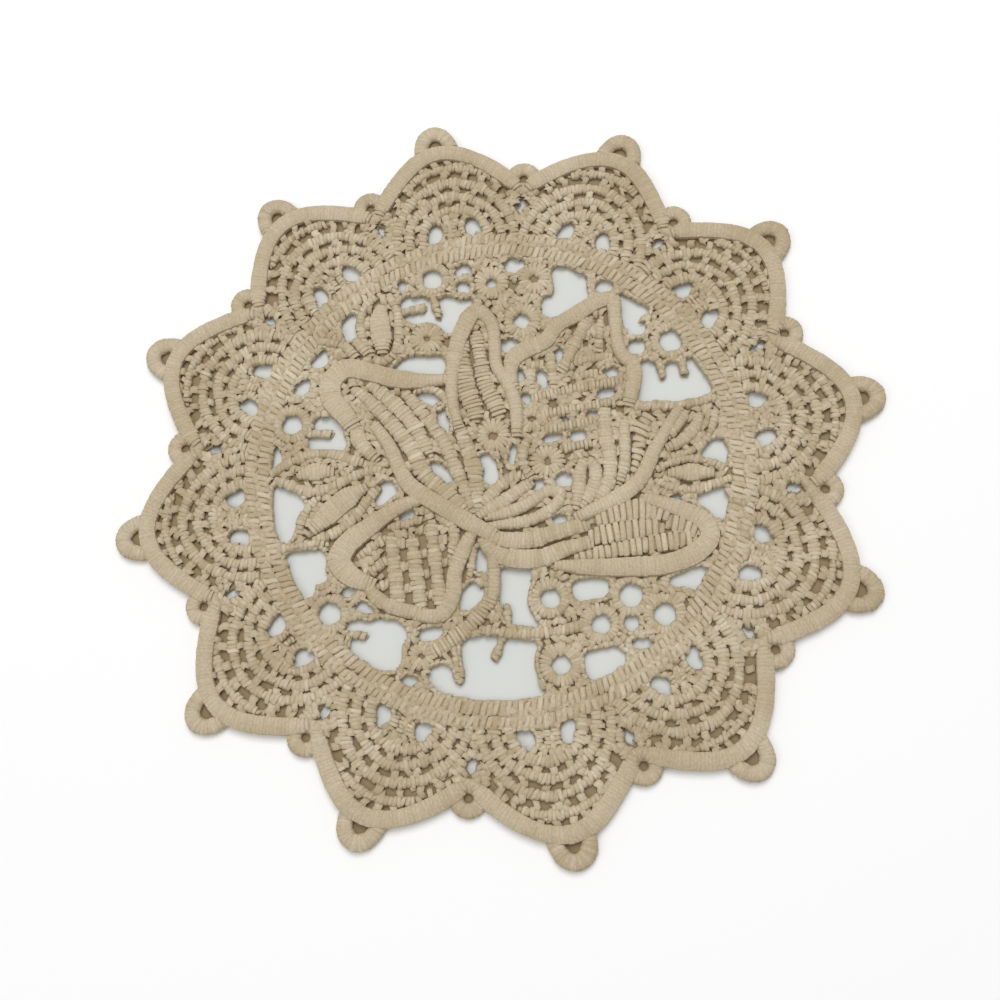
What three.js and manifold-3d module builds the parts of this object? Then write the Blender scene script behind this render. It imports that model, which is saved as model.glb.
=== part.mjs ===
// A round lace coaster in one piece: twelve scallops around a stitched ring, with a flower, leaves,
// eyelets and small bars inside the ring. Everything is a stitched cord or a closed ground, flat on
// its back. Millimetres, +Z up, the back on z = 0, the middle at the origin, one scallop's tip on +X.
import * as THREE from "three";
import { mergeVertices } from "three/addons/utils/BufferGeometryUtils.js";
import Module from "manifold-3d";

// The size across two opposite tips is twice this.
const TIP_RADIUS = 55;
const SCALLOPS = 12;
const HALF_SCALLOP = Math.PI / SCALLOPS;

// Heights above the surface that the coaster lies on, and the flat on top of each kind of stitching
// as a share of its width: its sides slope from there to the surface.
const KINDS = {
  ground: { top: 0.9, flat: 1 },
  cord: { top: 1.35, flat: 0 },
  satin: { top: 1.6, flat: 0 },
  padded: { top: 1.9, flat: 0.5 },
};
// How far a cord's straight stretches may leave its smooth line.
const LINE_TOLERANCE = 0.2;
const LINE_SAMPLES = 60;
// Facets closer than this to one plane are made one.
const FACET_TOLERANCE = 0.03;
const EYELET_SIDES = 10;
// Corners closer than this are one corner.
const SAME_SPOT = 1e-4;

// The ring: two rows of stitches with a groove between them.
const RING = { inside: 32.4, groove: 34.3, outside: 35.8, shoulder: 0.9, grooveFloor: 1, sides: 60 };

// One scallop, with its tip on +X: u is the way out from the middle of the coaster, v across it.
const EDGE = { kind: "padded", width: 2.5,
  half: [[50.2, 0], [49.5, 3], [47.7, 5.7], [44.9, 8.5], [42.4, 10.3], [41, 10.9]] };
const GROUND_HALF = [[50.2, 0], [47.7, 5.7], [44.9, 8.5], [42.4, 10.3], [41, 11.2], [40, 10], [38.8, 10.6]];
const GROUND_START = 34.5;
const GROUND_OVERLAP = 0.3;
const ARCHES = [
  { kind: "cord", width: 1.2, half: [[47.6, 0], [47.1, 2.8], [46, 5.6]] },
  { kind: "cord", width: 1.6, half: [[45.2, 0], [43.3, 5.2], [41.3, 6.9], [39, 8.2], [35.4, 8.8]] },
  { kind: "cord", width: 1.6, half: [[43, 0], [40.5, 5.1], [38.6, 6.4], [35.4, 6.9]] },
  { kind: "cord", width: 1.6, half: [[40.7, 0], [39.4, 3.6], [37.2, 4.7], [35.4, 5]] },
];
const TIP_PICOT = { kind: "satin", width: 1.96, radius: 2.27 };
const VALLEY_PICOT = { kind: "satin", width: 1.9, radius: 1.65, u: 44.9 };
const OVAL = { u: 37.35, v: 2.95, length: 3.2, width: 2.4, lean: 0.35, sides: 6 };
// How far each scallop's tip leans along the rim, as in soft lace, from the one on +X round.
const TIP_LEAN = [0.2, 0.3, -0.7, 0.5, -0.2, -0.2, 0.2, 0.2, -0.6, 0.8, -0.3, -0.3];
const LEAN_START = 46;
const LEAN_END = 53;

// Each row below is one cord: the line it runs through, and its widths, spread evenly along it.
const WING_PETAL = [
  { kind: "ground", widths: [4, 7.6, 5], through: [[-20.4, 17], [-16.4, 13], [-12.6, 7.4]] },
  { kind: "ground", widths: [4.6, 3.8, 3], through: [[-12.6, 7.4], [-11.4, 2], [-5.4, -5.8]] },
  { kind: "padded", widths: [1.6, 2.6, 3.4, 3.4, 2.4],
    through: [[-6.2, 14.6], [-12.8, 17], [-19.8, 18.4], [-21.7, 16.4], [-20.9, 13.6], [-18.4, 10.8]] },
  { kind: "satin", widths: [2.2, 2.2, 1.4], through: [[-18.6, 11], [-18.9, 8.4], [-17.4, 5.9]] },
  { kind: "padded", widths: [1.8, 2.4, 2.6, 2.5],
    through: [[-16.9, 10.4], [-13.7, 3.8], [-12.9, 1], [-8.1, -4.3], [-4.4, -7.2]] },
  { kind: "cord", widths: [1.6, 2.3, 2, 1.8],
    through: [[-18.8, 15.8], [-15, 11.4], [-12, 6.4], [-10.2, 1.4], [-5.2, -5.6]] },
  { kind: "cord", widths: [1.6, 2.2, 1.6], through: [[-17.4, 17.2], [-13.4, 13], [-9.2, 5]] },
  { kind: "cord", widths: [1.8, 2, 1.7],
    through: [[-12.6, 15.4], [-9.4, 10.2], [-7, 4.8], [-4.5, -5]] },
  { kind: "cord", widths: [1.5, 1.6, 1.7],
    through: [[-10.6, 14.6], [-7.4, 13.2], [-5.2, 8.8], [-4.2, 1.4], [-3.9, -5]] },
];
const TALL_PETAL = [
  { kind: "ground", widths: [3, 5.2, 7.4, 4.4], through: [[1.2, 23.6], [-0.2, 17], [0, 10], [0.2, 3]] },
  { kind: "padded", widths: [1.5, 1.6, 2.1, 2.5, 2.4, 1.6],
    through: [
      [-3.7, 3.6], [-4.4, 11], [-3.7, 16], [-1, 22.4], [1.4, 24.2], [2.9, 21.6], [2.8, 18.6], [1.6, 14],
    ] },
  { kind: "padded", widths: [1.6, 2, 1.4], through: [[1.9, 14.8], [4.1, 10.4], [3.1, 4.2]] },
  { kind: "cord", widths: [1.8, 2.6, 2.4], through: [[0, 21.6], [-2.1, 14], [-2, 7.6]] },
  { kind: "cord", widths: [1.8, 2.4, 2.8], through: [[0.9, 21.4], [0.5, 14], [1.3, 7.4]] },
];
const LONG_PETAL = [
  { kind: "ground", widths: [2, 4, 5.4, 8.4, 5],
    through: [[-3.4, -8.2], [2, -11.8], [9, -12.2], [16, -12.8], [26, -14.2]] },
  { kind: "satin", widths: [1.8, 2, 2.2],
    through: [[-4.8, -7], [-2, -9.2], [3, -10.5], [10.8, -10.4]] },
  { kind: "satin", widths: [2, 2.7, 2.1],
    through: [[-4.8, -8.6], [-2.4, -11.6], [2.6, -13.3], [11.4, -12.4]] },
  { kind: "padded", widths: [1.8, 2.6, 3.1, 2.6, 2.2, 1.3],
    through: [[18, -8.2], [22.8, -9.7], [26.9, -14.2], [21.6, -17.4], [12, -16.7], [4.8, -14.6]] },
  { kind: "satin", widths: [2, 2.4], through: [[10.2, -9.4], [20.4, -10.2]] },
  { kind: "padded", widths: [2.2, 2.6], through: [[10.6, -12], [25.4, -12.8]] },
  { kind: "cord", widths: [1.2, 1.8], through: [[6, -14.5], [25.4, -14.8]] },
];
const FAN = [
  { kind: "ground", widths: [2, 5.4, 3.6], through: [[-4, -6.8], [2.4, -5.8], [7.6, -5.8]] },
  { kind: "ground", widths: [1.8, 4.2, 1.6], through: [[12.6, -0.8], [12.2, -4], [9.4, -9.2]] },
  { kind: "cord", widths: [1.4, 1.8, 1.5],
    through: [[-4.2, -6], [-1, -3.3], [2.4, -1.5], [4.8, -2.4]] },
  { kind: "satin", widths: [1.7, 1.9, 1.5], through: [[-4.8, -6.6], [1.3, -4.9], [5.8, -2]] },
  { kind: "satin", widths: [1.2, 1.9, 1.8, 1.9, 1.2],
    through: [[-4.8, -7.2], [0.4, -7.2], [6.4, -4.7], [8.2, -5.6], [4.2, -8], [-3.8, -8.2]] },
  { kind: "satin", widths: [1.2, 1.9, 1.3], through: [[12.7, -0.2], [10.9, -3.6], [8.6, -9.2]] },
  { kind: "satin", widths: [1.2, 2, 1.3], through: [[12.3, -0.2], [13.5, -3.2], [9.2, -9.2]] },
  { kind: "cord", widths: [1.4, 1.4], through: [[5.8, 4.4], [3.5, 0.8], [4.8, -2.6]] },
];
const NET_LEAF = [
  { kind: "ground", widths: [8, 8, 2], through: [[11, 14], [15, 17], [20.8, 22.8]] },
  { kind: "ground", widths: [3.4, 8, 7], through: [[4, 13], [10, 12.2], [20.8, 10]] },
  { kind: "ground", widths: [3, 7.4, 6], through: [[5, 5], [12, 4.4], [18, 5.6]] },
  { kind: "padded", widths: [1.6, 2.4, 2],
    through: [[2.4, 13.4], [5, 16.6], [7.8, 16.8], [10.2, 15.6]] },
  { kind: "padded", widths: [2, 2.1, 1.8, 2.2, 1.9],
    through: [[9.2, 16], [10.8, 18.9], [17, 21.2], [20.8, 23.6], [20.9, 22.4], [20.5, 19.4], [20, 12.8]] },
  { kind: "padded", widths: [1.6, 2.3, 1.8], through: [[19.6, 13.2], [21.9, 11.4], [20, 5]] },
  { kind: "satin", widths: [1.6, 2], through: [[10, 9], [17.8, 20.8]] },
  { kind: "cord", widths: [1.6, 1.6], through: [[9.6, 9], [10.4, 16.4]] },
  { kind: "cord", widths: [1.4, 1.4], through: [[4.4, 12.2], [10.2, 13.4]] },
  { kind: "cord", widths: [1.6, 1.4], through: [[12.6, 13.2], [20, 13]] },
  { kind: "cord", widths: [1.6, 1.4], through: [[6, 9.6], [20.6, 9.2]] },
  { kind: "cord", widths: [1.4, 1.6], through: [[6.6, 6.8], [19, 6.7]] },
  { kind: "cord", widths: [1.3, 1.4], through: [[5.4, 4.2], [15.6, 4.3]] },
  { kind: "cord", widths: [1.4, 1.4], through: [[8.6, 1.7], [15, 1.4]] },
];
const VEINED_LEAF = [
  { kind: "ground", widths: [4, 6.6, 5.8, 2],
    through: [[20.6, 6.4], [18.8, 0], [16.4, -5], [10.4, -9.2]] },
  { kind: "cord", widths: [1.5, 1.3, 1.3], through: [[19.4, 6], [25.6, 4.2], [33, 4.4]] },
  { kind: "padded", widths: [1.4, 2.1, 2.4, 1.7],
    through: [[27, 4.4], [22.2, -1.3], [18.4, -6], [8.8, -9.6]] },
  { kind: "satin", widths: [2, 2.4, 1.6], through: [[17.2, 7], [16.5, -1], [12.2, -8]] },
  { kind: "cord", widths: [2.2, 1.8], through: [[21.6, 4.6], [17.4, -5.4]] },
];
const BROAD_LEAF = [
  { kind: "ground", widths: [3, 12.6, 11], through: [[-23.6, -8.4], [-16, -10.6], [-8.6, -12]] },
  { kind: "padded", widths: [1.6, 2.2, 3.4, 1.8],
    through: [[-10, -1.4], [-19.4, -5], [-24, -8.8], [-19.4, -12.8]] },
  { kind: "satin", widths: [1.7, 1.9, 1.7], through: [[-19.4, -12], [-19.1, -15.4], [-14.4, -17.9]] },
  { kind: "padded", widths: [1.6, 2.3, 2.5, 1.6],
    through: [[-15.4, -17.2], [-10.6, -18.8], [-8.4, -14], [-4.4, -8]] },
  { kind: "cord", widths: [1.9, 1.8], through: [[-16.4, -5], [-16.6, -16.8]] },
  { kind: "cord", widths: [1.7, 1.7], through: [[-13.4, -4.6], [-13.6, -17.8]] },
  { kind: "cord", widths: [1.7, 1.7], through: [[-10.6, -4.8], [-10.9, -18]] },
  { kind: "cord", widths: [1.4, 1.6], through: [[-22.4, -9.2], [-16, -6.6]] },
  { kind: "cord", widths: [1.4, 1.5], through: [[-20.4, -12], [-16.4, -9.8]] },
];
const STALKS = [
  { kind: "satin", widths: [1.6, 2, 1.9, 1.3],
    through: [[-3.6, -10], [-3.2, -15], [-7.4, -21.5], [-14.4, -24]] },
  { kind: "cord", widths: [1.4, 1.4], through: [[-7, -21.4], [7.8, -24]] },
  { kind: "cord", widths: [1.4, 1.4], through: [[-33.4, -5.6], [-24, -6.2]] },
  { kind: "cord", widths: [2.4, 1.6], through: [[-21, 3.2], [-13.4, 2.2]] },
  { kind: "cord", widths: [1.5, 1.5], through: [[-33.4, 6], [-28.6, 5]] },
  { kind: "cord", widths: [1.5, 1.8, 1.6], through: [[-22.8, 24.4], [-17.6, 22], [-15, 19.4]] },
  { kind: "cord", widths: [1.4, 1.4], through: [[22.4, -3.4], [28.4, -2.2], [32.6, 2.6]] },
  { kind: "cord", widths: [1.3, 1.3], through: [[20, -6.8], [24, -8.2], [28.4, -8.2], [33, -7.2]] },
];
// Almond leaves: a padded body from its foot to its point, with a cord round it. The body stops short
// of both ends of the leaf by a share of its length, with a blunt tip there.
const ALMOND_INSET = 0.1;
const ALMOND_TIP = 0.6;
const ALMONDS = [
  { foot: [-20.2, 4], point: [-29.4, 4.6], width: 3, border: 1.3 },
  { foot: [-18.2, 2.2], point: [-28, -5], width: 3.4, border: 1.2 },
  { foot: [-13.2, 18.9], point: [-12, 29], width: 3, border: 1.2 },
  { foot: [23.8, -1.4], point: [30, 3.8], width: 2.6, border: 1 },
  { foot: [22, -5.2], point: [31, -7], width: 2.2, border: 1 },
];

// Round eyelets, each with the points that its bars reach: some of these end free, as small spurs.
const BAR_WIDTH = 1.3;
const EYELETS = [
  { at: [-4.5, 30.2], radius: 2.1, width: 1.4,
    bars: [[-11.6, 29.9], [-8.8, 26.8], [-4.2, 24.2], [2.8, 28.4]] },
  { at: [4, 28], radius: 1.8, width: 1.6, bars: [[6.4, 22.8], [9, 27.6]] },
  { at: [10.3, 27.3], radius: 1.9, width: 1.7, bars: [[12.6, 30.8]] },
  { at: [7.3, 21.3], radius: 2.1, width: 1.7, bars: [[10.8, 18.6], [3, 19.6]] },
  { at: [-6.6, 21.2], radius: 1.5, width: 1.9, bars: [[-11.8, 22.6], [-2.2, 20.4]] },
  { at: [27.4, 13.8], radius: 2.3, width: 1.4,
    bars: [[20.6, 15.4], [20.8, 12.6], [24.6, 8.8], [28.4, 8.3], [33, 14.8], [24.2, 18.2]] },
  { at: [-28, 12.3], radius: 2.4, width: 1.4,
    bars: [[-33.4, 12], [-22.8, 10.2], [-21.8, 15.6], [-27.2, 7], [-25.4, 20.8]] },
  { at: [-26, -15.8], radius: 2.1, width: 1.4,
    bars: [[-19.6, -13.8], [-20.9, -17.3], [-28.4, -11], [-31.6, -15.8]] },
  { at: [3.8, -19.3], radius: 2.2, width: 1.6, bars: [[4.2, -24], [5.6, -15]] },
  { at: [9.8, -24], radius: 2.2, width: 1.6,
    bars: [[4.2, -23.6], [16, -24.2], [12, -22.6], [16.4, -29.2]] },
  { at: [3.6, -28.5], radius: 2.2, width: 1.7, bars: [[4.2, -23], [3.2, -33.4]] },
  { at: [18, -24.3], radius: 2.4, width: 1.4, bars: [[17.4, -17.8], [21.8, -26.6]] },
  { at: [14, -21], radius: 2.5, width: 1.2, bars: [[13.4, -17.2]] },
  { at: [-14.8, -24], radius: 1.3, width: 1.5, bars: [[-14.6, -17.8], [-16.4, -29.6], [-13.2, -31]] },
  { at: [0.2, 4.9], radius: 1.6, width: 1.9, bars: [] },
  { at: [7.1, -0.2], radius: 1.7, width: 1.9, bars: [] },
  { at: [6, 6.2], radius: 1.2, width: 1.4, bars: [] },
];
const BARS = [
  { from: [-10.2, -22.6], to: [-10.1, -28.2] },
  { from: [-3.9, -21.4], to: [-5, -26] },
  { from: [-2.4, -22.6], to: [-2.2, -19.4] },
  { from: [-26.8, -19], to: [-22, -20.4] },
  { from: [-26.2, 19.6], to: [-20.4, 18.8] },
  { from: [17.6, 28.2], to: [17.4, 21.6] },
  { from: [20.6, 25.6], to: [20.6, 23] },
  { from: [27, -14.4], to: [30.6, -15.8] },
  { from: [24.8, -16.4], to: [26.8, -20.2] },
];

const wasm = await Module();
wasm.setup();

/** A closed three.js geometry as a solid that can be joined and cut. */
function solidOf(geometry) {
  const bare = geometry.clone();
  bare.deleteAttribute("normal");
  bare.deleteAttribute("uv");
  const merged = mergeVertices(bare, SAME_SPOT);
  const triVerts = new Uint32Array(merged.index.array);
  return new wasm.Manifold(
    new wasm.Mesh({ numProp: 3, vertProperties: merged.attributes.position.array, triVerts }),
  );
}

/** A solid as a three.js geometry. */
function geometryOf(solid) {
  const mesh = solid.getMesh();
  const geometry = new THREE.BufferGeometry();
  geometry.setAttribute("position", new THREE.BufferAttribute(mesh.vertProperties, 3));
  geometry.setIndex(new THREE.BufferAttribute(mesh.triVerts, 1));
  return geometry;
}

/** All the solids joined, two by two. */
function joined(solids) {
  let left = solids;
  while (left.length > 1) {
    const pairs = [];
    for (let i = 0; i < left.length; i += 2) {
      pairs.push(i + 1 < left.length ? left[i].add(left[i + 1]) : left[i]);
    }
    left = pairs;
  }
  return left[0].asOriginal().simplify(FACET_TOLERANCE);
}

/** The stations that a line needs to stay within the tolerance: x, y and half the width count alike. */
function thinned(stations, tolerance) {
  if (stations.length < 3) return stations;
  const first = stations[0].spot;
  const span = stations[stations.length - 1].spot.clone().sub(first);
  let worst = 0;
  let farthest = 0;
  for (let i = 1; i < stations.length - 1; i += 1) {
    const away = stations[i].spot.clone().sub(first);
    const share = THREE.MathUtils.clamp(away.dot(span) / Math.max(span.lengthSq(), SAME_SPOT ** 2), 0, 1);
    const distance = away.addScaledVector(span, -share).length();
    if (distance > worst) {
      worst = distance;
      farthest = i;
    }
  }
  if (worst <= tolerance) return [stations[0], stations[stations.length - 1]];
  const before = thinned(stations.slice(0, farthest + 1), tolerance);
  const after = thinned(stations.slice(farthest), tolerance);
  return [...before.slice(0, -1), ...after];
}

/** The outline of a cord's section: across it in shares of its width, and up. */
function section({ top, flat }) {
  const bottom = [[-0.5, 0], [0.5, 0]];
  return flat === 0 ? [...bottom, [0, top]] : [...bottom, [0.5 * flat, top], [-0.5 * flat, top]];
}

/** A cord of one kind along a smooth line, flat on the surface. */
function cord({ kind, through, widths }) {
  const line = new THREE.CatmullRomCurve3(
    through.map(([x, y]) => new THREE.Vector3(x, y, 0)),
    false,
    "centripetal",
  );
  const stations = [];
  for (let i = 0; i <= LINE_SAMPLES; i += 1) {
    const share = i / LINE_SAMPLES;
    const place = share * (widths.length - 1);
    const before = Math.min(Math.floor(place), widths.length - 2);
    const width = THREE.MathUtils.lerp(widths[before], widths[before + 1], place - before);
    const at = line.getPointAt(share);
    const tangent = line.getTangentAt(share);
    const across = new THREE.Vector3(-tangent.y, tangent.x, 0);
    stations.push({ at, across, width, spot: new THREE.Vector3(at.x, at.y, width / 2) });
  }
  return lofted(thinned(stations, LINE_TOLERANCE), section(KINDS[kind]));
}

/** A straight cord of one kind. */
function bar(kind, width, from, to) {
  return cord({ kind, widths: [width, width], through: [from, to] });
}

/** A closed solid from one section carried over the stations, with both ends closed. */
function lofted(stations, outline) {
  const corners = [];
  for (const { at, across, width } of stations) {
    for (const [side, height] of outline) {
      const corner = at.clone().addScaledVector(across, side * width);
      corners.push(corner.x, corner.y, height);
    }
  }
  const sides = outline.length;
  const last = (stations.length - 1) * sides;
  const faces = [];
  for (let start = 0; start < last; start += sides) {
    for (let c = 0; c < sides; c += 1) {
      const next = (c + 1) % sides;
      faces.push(start + c, start + sides + next, start + sides + c);
      faces.push(start + c, start + next, start + sides + next);
    }
  }
  for (let c = 1; c < sides - 1; c += 1) {
    faces.push(0, c + 1, c, last, last + c, last + c + 1);
  }
  const geometry = new THREE.BufferGeometry();
  geometry.setAttribute("position", new THREE.Float32BufferAttribute(corners, 3));
  geometry.setIndex(faces);
  return solidOf(geometry);
}

/** A solid of revolution about Z, from its closed outline of radius and height. */
function turned(outline, sides) {
  const profile = [...outline, outline[0]].map(([radius, height]) => new THREE.Vector2(radius, height));
  const geometry = new THREE.LatheGeometry(profile, sides, Math.PI / 2);
  geometry.rotateX(Math.PI / 2);
  return geometry;
}

/** A stitched eyelet: a small round cord about an open middle. */
function eyelet(kind, [x, y], radius, width) {
  const outline = section(KINDS[kind]).map(([side, height]) => [radius + side * width, height]);
  const geometry = turned(outline, EYELET_SIDES);
  geometry.translate(x, y, 0);
  return solidOf(geometry);
}

/** A line that is the same on both sides of u, from its half. */
function mirrored(half) {
  return [...half.slice(1).reverse().map(([u, v]) => [u, -v]), ...half];
}

/** The closed ground of one scallop, with its two ovals. */
function scallopGround() {
  const startU = GROUND_START * Math.cos(HALF_SCALLOP);
  const startV = GROUND_START * Math.sin(HALF_SCALLOP) + GROUND_OVERLAP;
  const outline = mirrored([...GROUND_HALF, [startU, startV]]);
  const shape = new THREE.Shape(outline.map(([u, v]) => new THREE.Vector2(u, v)));
  for (const side of [-1, 1]) {
    const oval = new THREE.EllipseCurve(OVAL.u, side * OVAL.v, OVAL.length / 2, OVAL.width / 2);
    oval.aRotation = -side * OVAL.lean;
    shape.holes.push(new THREE.Path(oval.getPoints(OVAL.sides).slice(0, -1)));
  }
  return solidOf(new THREE.ExtrudeGeometry(shape, { depth: KINDS.ground.top, bevelEnabled: false }));
}

/** One scallop: its ground, its edge, its arches, and the picots at its tip and in one valley. */
function scallop() {
  const parts = [scallopGround()];
  for (const { kind, width, half } of [EDGE, ...ARCHES]) {
    parts.push(cord({ kind, widths: [width, width], through: mirrored(half) }));
  }
  const outerRadius = TIP_PICOT.radius + TIP_PICOT.width / 2;
  parts.push(eyelet(TIP_PICOT.kind, [TIP_RADIUS - outerRadius, 0], TIP_PICOT.radius, TIP_PICOT.width));
  const valley = [VALLEY_PICOT.u * Math.cos(HALF_SCALLOP), VALLEY_PICOT.u * Math.sin(HALF_SCALLOP)];
  parts.push(eyelet(VALLEY_PICOT.kind, valley, VALLEY_PICOT.radius, VALLEY_PICOT.width));
  return joined(parts);
}

/** A copy of a scallop, its tip leaned along the rim by its own amount, turned to its place. */
function scallopAt(geometry, index) {
  const copy = geometry.clone();
  const place = copy.attributes.position;
  for (let i = 0; i < place.count; i += 1) {
    const share = THREE.MathUtils.smoothstep(place.getX(i), LEAN_START, LEAN_END);
    place.setY(i, place.getY(i) + TIP_LEAN[index] * share);
  }
  copy.rotateZ(2 * HALF_SCALLOP * index);
  return solidOf(copy);
}

/** The ring between the scallops and the flower. */
function ring() {
  const outline = [
    [RING.inside, 0],
    [RING.outside, 0],
    [RING.outside - RING.shoulder, KINDS.cord.top],
    [RING.groove, RING.grooveFloor],
    [RING.inside + RING.shoulder, KINDS.cord.top],
  ];
  return solidOf(turned(outline, RING.sides));
}

/** An almond leaf: its ground, its padded body, and the cord on each side of it. */
function almond({ foot, point, width, border }) {
  const start = new THREE.Vector2(...foot);
  const along = new THREE.Vector2(...point).sub(start);
  const across = new THREE.Vector2(-along.y, along.x).normalize();
  const spot = (share, side) => {
    return start.clone().addScaledVector(along, share).addScaledVector(across, side).toArray();
  };
  const whole = width + 2 * border;
  const inset = [spot(ALMOND_INSET, 0), spot(1 - ALMOND_INSET, 0)];
  const parts = [
    cord({ kind: "ground", widths: [border, whole, border], through: [spot(0, 0), spot(1, 0)] }),
    cord({ kind: "padded", widths: [ALMOND_TIP, width, ALMOND_TIP], through: inset }),
  ];
  for (const side of [-1, 1]) {
    const bulge = (side * (width + border)) / 2;
    const through = [spot(0, 0), spot(0.5, bulge), spot(1, 0)];
    parts.push(cord({ kind: "cord", widths: [border, border], through }));
  }
  return joined(parts);
}

/** An eyelet of the flower's ground with the bars that leave it. */
function tiedEyelet({ at, radius, width, bars }) {
  const parts = [eyelet("cord", at, radius, width)];
  const middle = new THREE.Vector2(...at);
  for (const end of bars) {
    const away = new THREE.Vector2(...end).sub(middle).setLength(radius);
    parts.push(bar("cord", BAR_WIDTH, middle.clone().add(away).toArray(), end));
  }
  return joined(parts);
}

/** The flower, its leaves and stalks, and the bars and eyelets that tie them to the ring. */
function flower() {
  const cords = [WING_PETAL, TALL_PETAL, LONG_PETAL, FAN, NET_LEAF, VEINED_LEAF, BROAD_LEAF, STALKS].flat();
  return joined([
    ...cords.map(cord),
    ...ALMONDS.map(almond),
    ...EYELETS.map(tiedEyelet),
    ...BARS.map(({ from, to }) => bar("cord", BAR_WIDTH, from, to)),
  ]);
}

const oneScallop = geometryOf(scallop());
const scallops = [...Array(SCALLOPS).keys()].map((index) => scallopAt(oneScallop, index));
const lace = joined([...scallops, ring(), flower()]);

const thread = new THREE.MeshStandardMaterial({ color: 0xc3b293, roughness: 0.75, metalness: 0 });
const coaster = new THREE.Group();
const body = new THREE.Mesh(geometryOf(lace), thread);
body.name = "lace";
coaster.add(body);

export default coaster;
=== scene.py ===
"""The looks of a round lace coaster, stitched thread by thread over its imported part.

The coaster is machine lace made in one go. Every column, cord, eyelet and bar is one thread wound
round a thin core along a line, short stitches fill what lies between, and a flat ground lies under
all of them. Sizes are in millimetres in the tables and in metres in the meshes. The back lies on
z = 0, the middle is the origin, and one scallop's tip points along +X.
"""

import logging
from collections.abc import Sequence
from dataclasses import dataclass, field
from enum import Enum

import bpy
import numpy as np
from mathutils import Matrix, Vector
from mathutils.geometry import tessellate_polygon


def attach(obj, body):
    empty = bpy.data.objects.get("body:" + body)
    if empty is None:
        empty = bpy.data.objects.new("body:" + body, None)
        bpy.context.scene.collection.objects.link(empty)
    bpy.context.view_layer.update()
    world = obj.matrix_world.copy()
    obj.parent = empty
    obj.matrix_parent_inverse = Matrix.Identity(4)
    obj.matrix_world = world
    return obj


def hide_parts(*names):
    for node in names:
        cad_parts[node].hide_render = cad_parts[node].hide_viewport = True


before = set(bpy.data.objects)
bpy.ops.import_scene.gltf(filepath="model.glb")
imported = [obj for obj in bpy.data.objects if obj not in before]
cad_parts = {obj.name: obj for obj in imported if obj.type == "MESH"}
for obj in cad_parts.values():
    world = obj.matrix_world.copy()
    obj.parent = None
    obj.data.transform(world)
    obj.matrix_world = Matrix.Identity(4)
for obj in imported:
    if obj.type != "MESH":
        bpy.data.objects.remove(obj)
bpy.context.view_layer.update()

LOG = logging.getLogger("coaster")
MM = 0.001
SEED = 12
NODE = "lace"
BODY = "root"
# The shade value of cores and grounds, by which the finish knows them and gives them the painted seam
# shade: no stitch's shade comes near it.
CORE_SHADE = -8.0
# Edges of a mesh that turn by more than this stay sharp.
SHARP_ANGLE = np.radians(50)
# The least length that a vector is divided by.
TINY = 1e-9

Point = tuple[float, float]
Pair = tuple[float, float]
Place = tuple[float, float, float]
Colour = tuple[float, float, float, float]
# A cord: its stitching, its widths, spread evenly along it, and the points that it runs through.
Row = tuple["Stitch", tuple[float, ...], tuple[Point, ...]]
# A round eyelet: its middle, radius and width.
Eyelet = tuple[Point, float, float]
# A place that stays free of stitches: its middle, half length, half width and lean in degrees.
Pit = tuple[Point, float, float, float]

SCALLOPS = 12
HALF_SCALLOP = np.pi / SCALLOPS
# The heights of the ground's underside and top, and those of the thinner ground under the picots.
GROUND_LEVELS = (0.3, 0.5)
PICOT_LEVELS = (0.25, 0.4)


class Stitch(Enum):
    """The kinds of stitching on the coaster."""

    PADDED = "padded"
    LOOP = "loop"
    SATIN = "satin"
    RIDGE = "ridge"
    CORD = "cord"
    BAND = "band"
    FINE = "fine"
    RIB = "rib"
    ROW = "row"
    TIE = "tie"


@dataclass(frozen=True)
class Winding:
    """How one kind of stitching is wound, in millimetres.

    Attributes:
        height: top of the cord above the table.
        edge: height of the cord's edges, where the thread turns under.
        pitch: distance from one turn of the thread to the next.
        half_width: half of the thread's width, along the cord.
        half_depth: half of the thread's thickness.
        fullness: how square the section is; 2 is an ellipse.
        slant: how far a turn runs on along the cord by its edge.
        slant_spread: how much the slant differs from turn to turn.
        lift: how much the height differs from turn to turn.
        reach: how much the width differs from turn to turn.
        rough: how uneven each turn is along itself.
        end: the share of its height that the cord has at its very ends.
    """

    height: float
    edge: float
    pitch: float
    half_width: float
    half_depth: float
    fullness: float
    slant: float
    slant_spread: float
    lift: float
    reach: float
    rough: float
    end: float = 0.48


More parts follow.
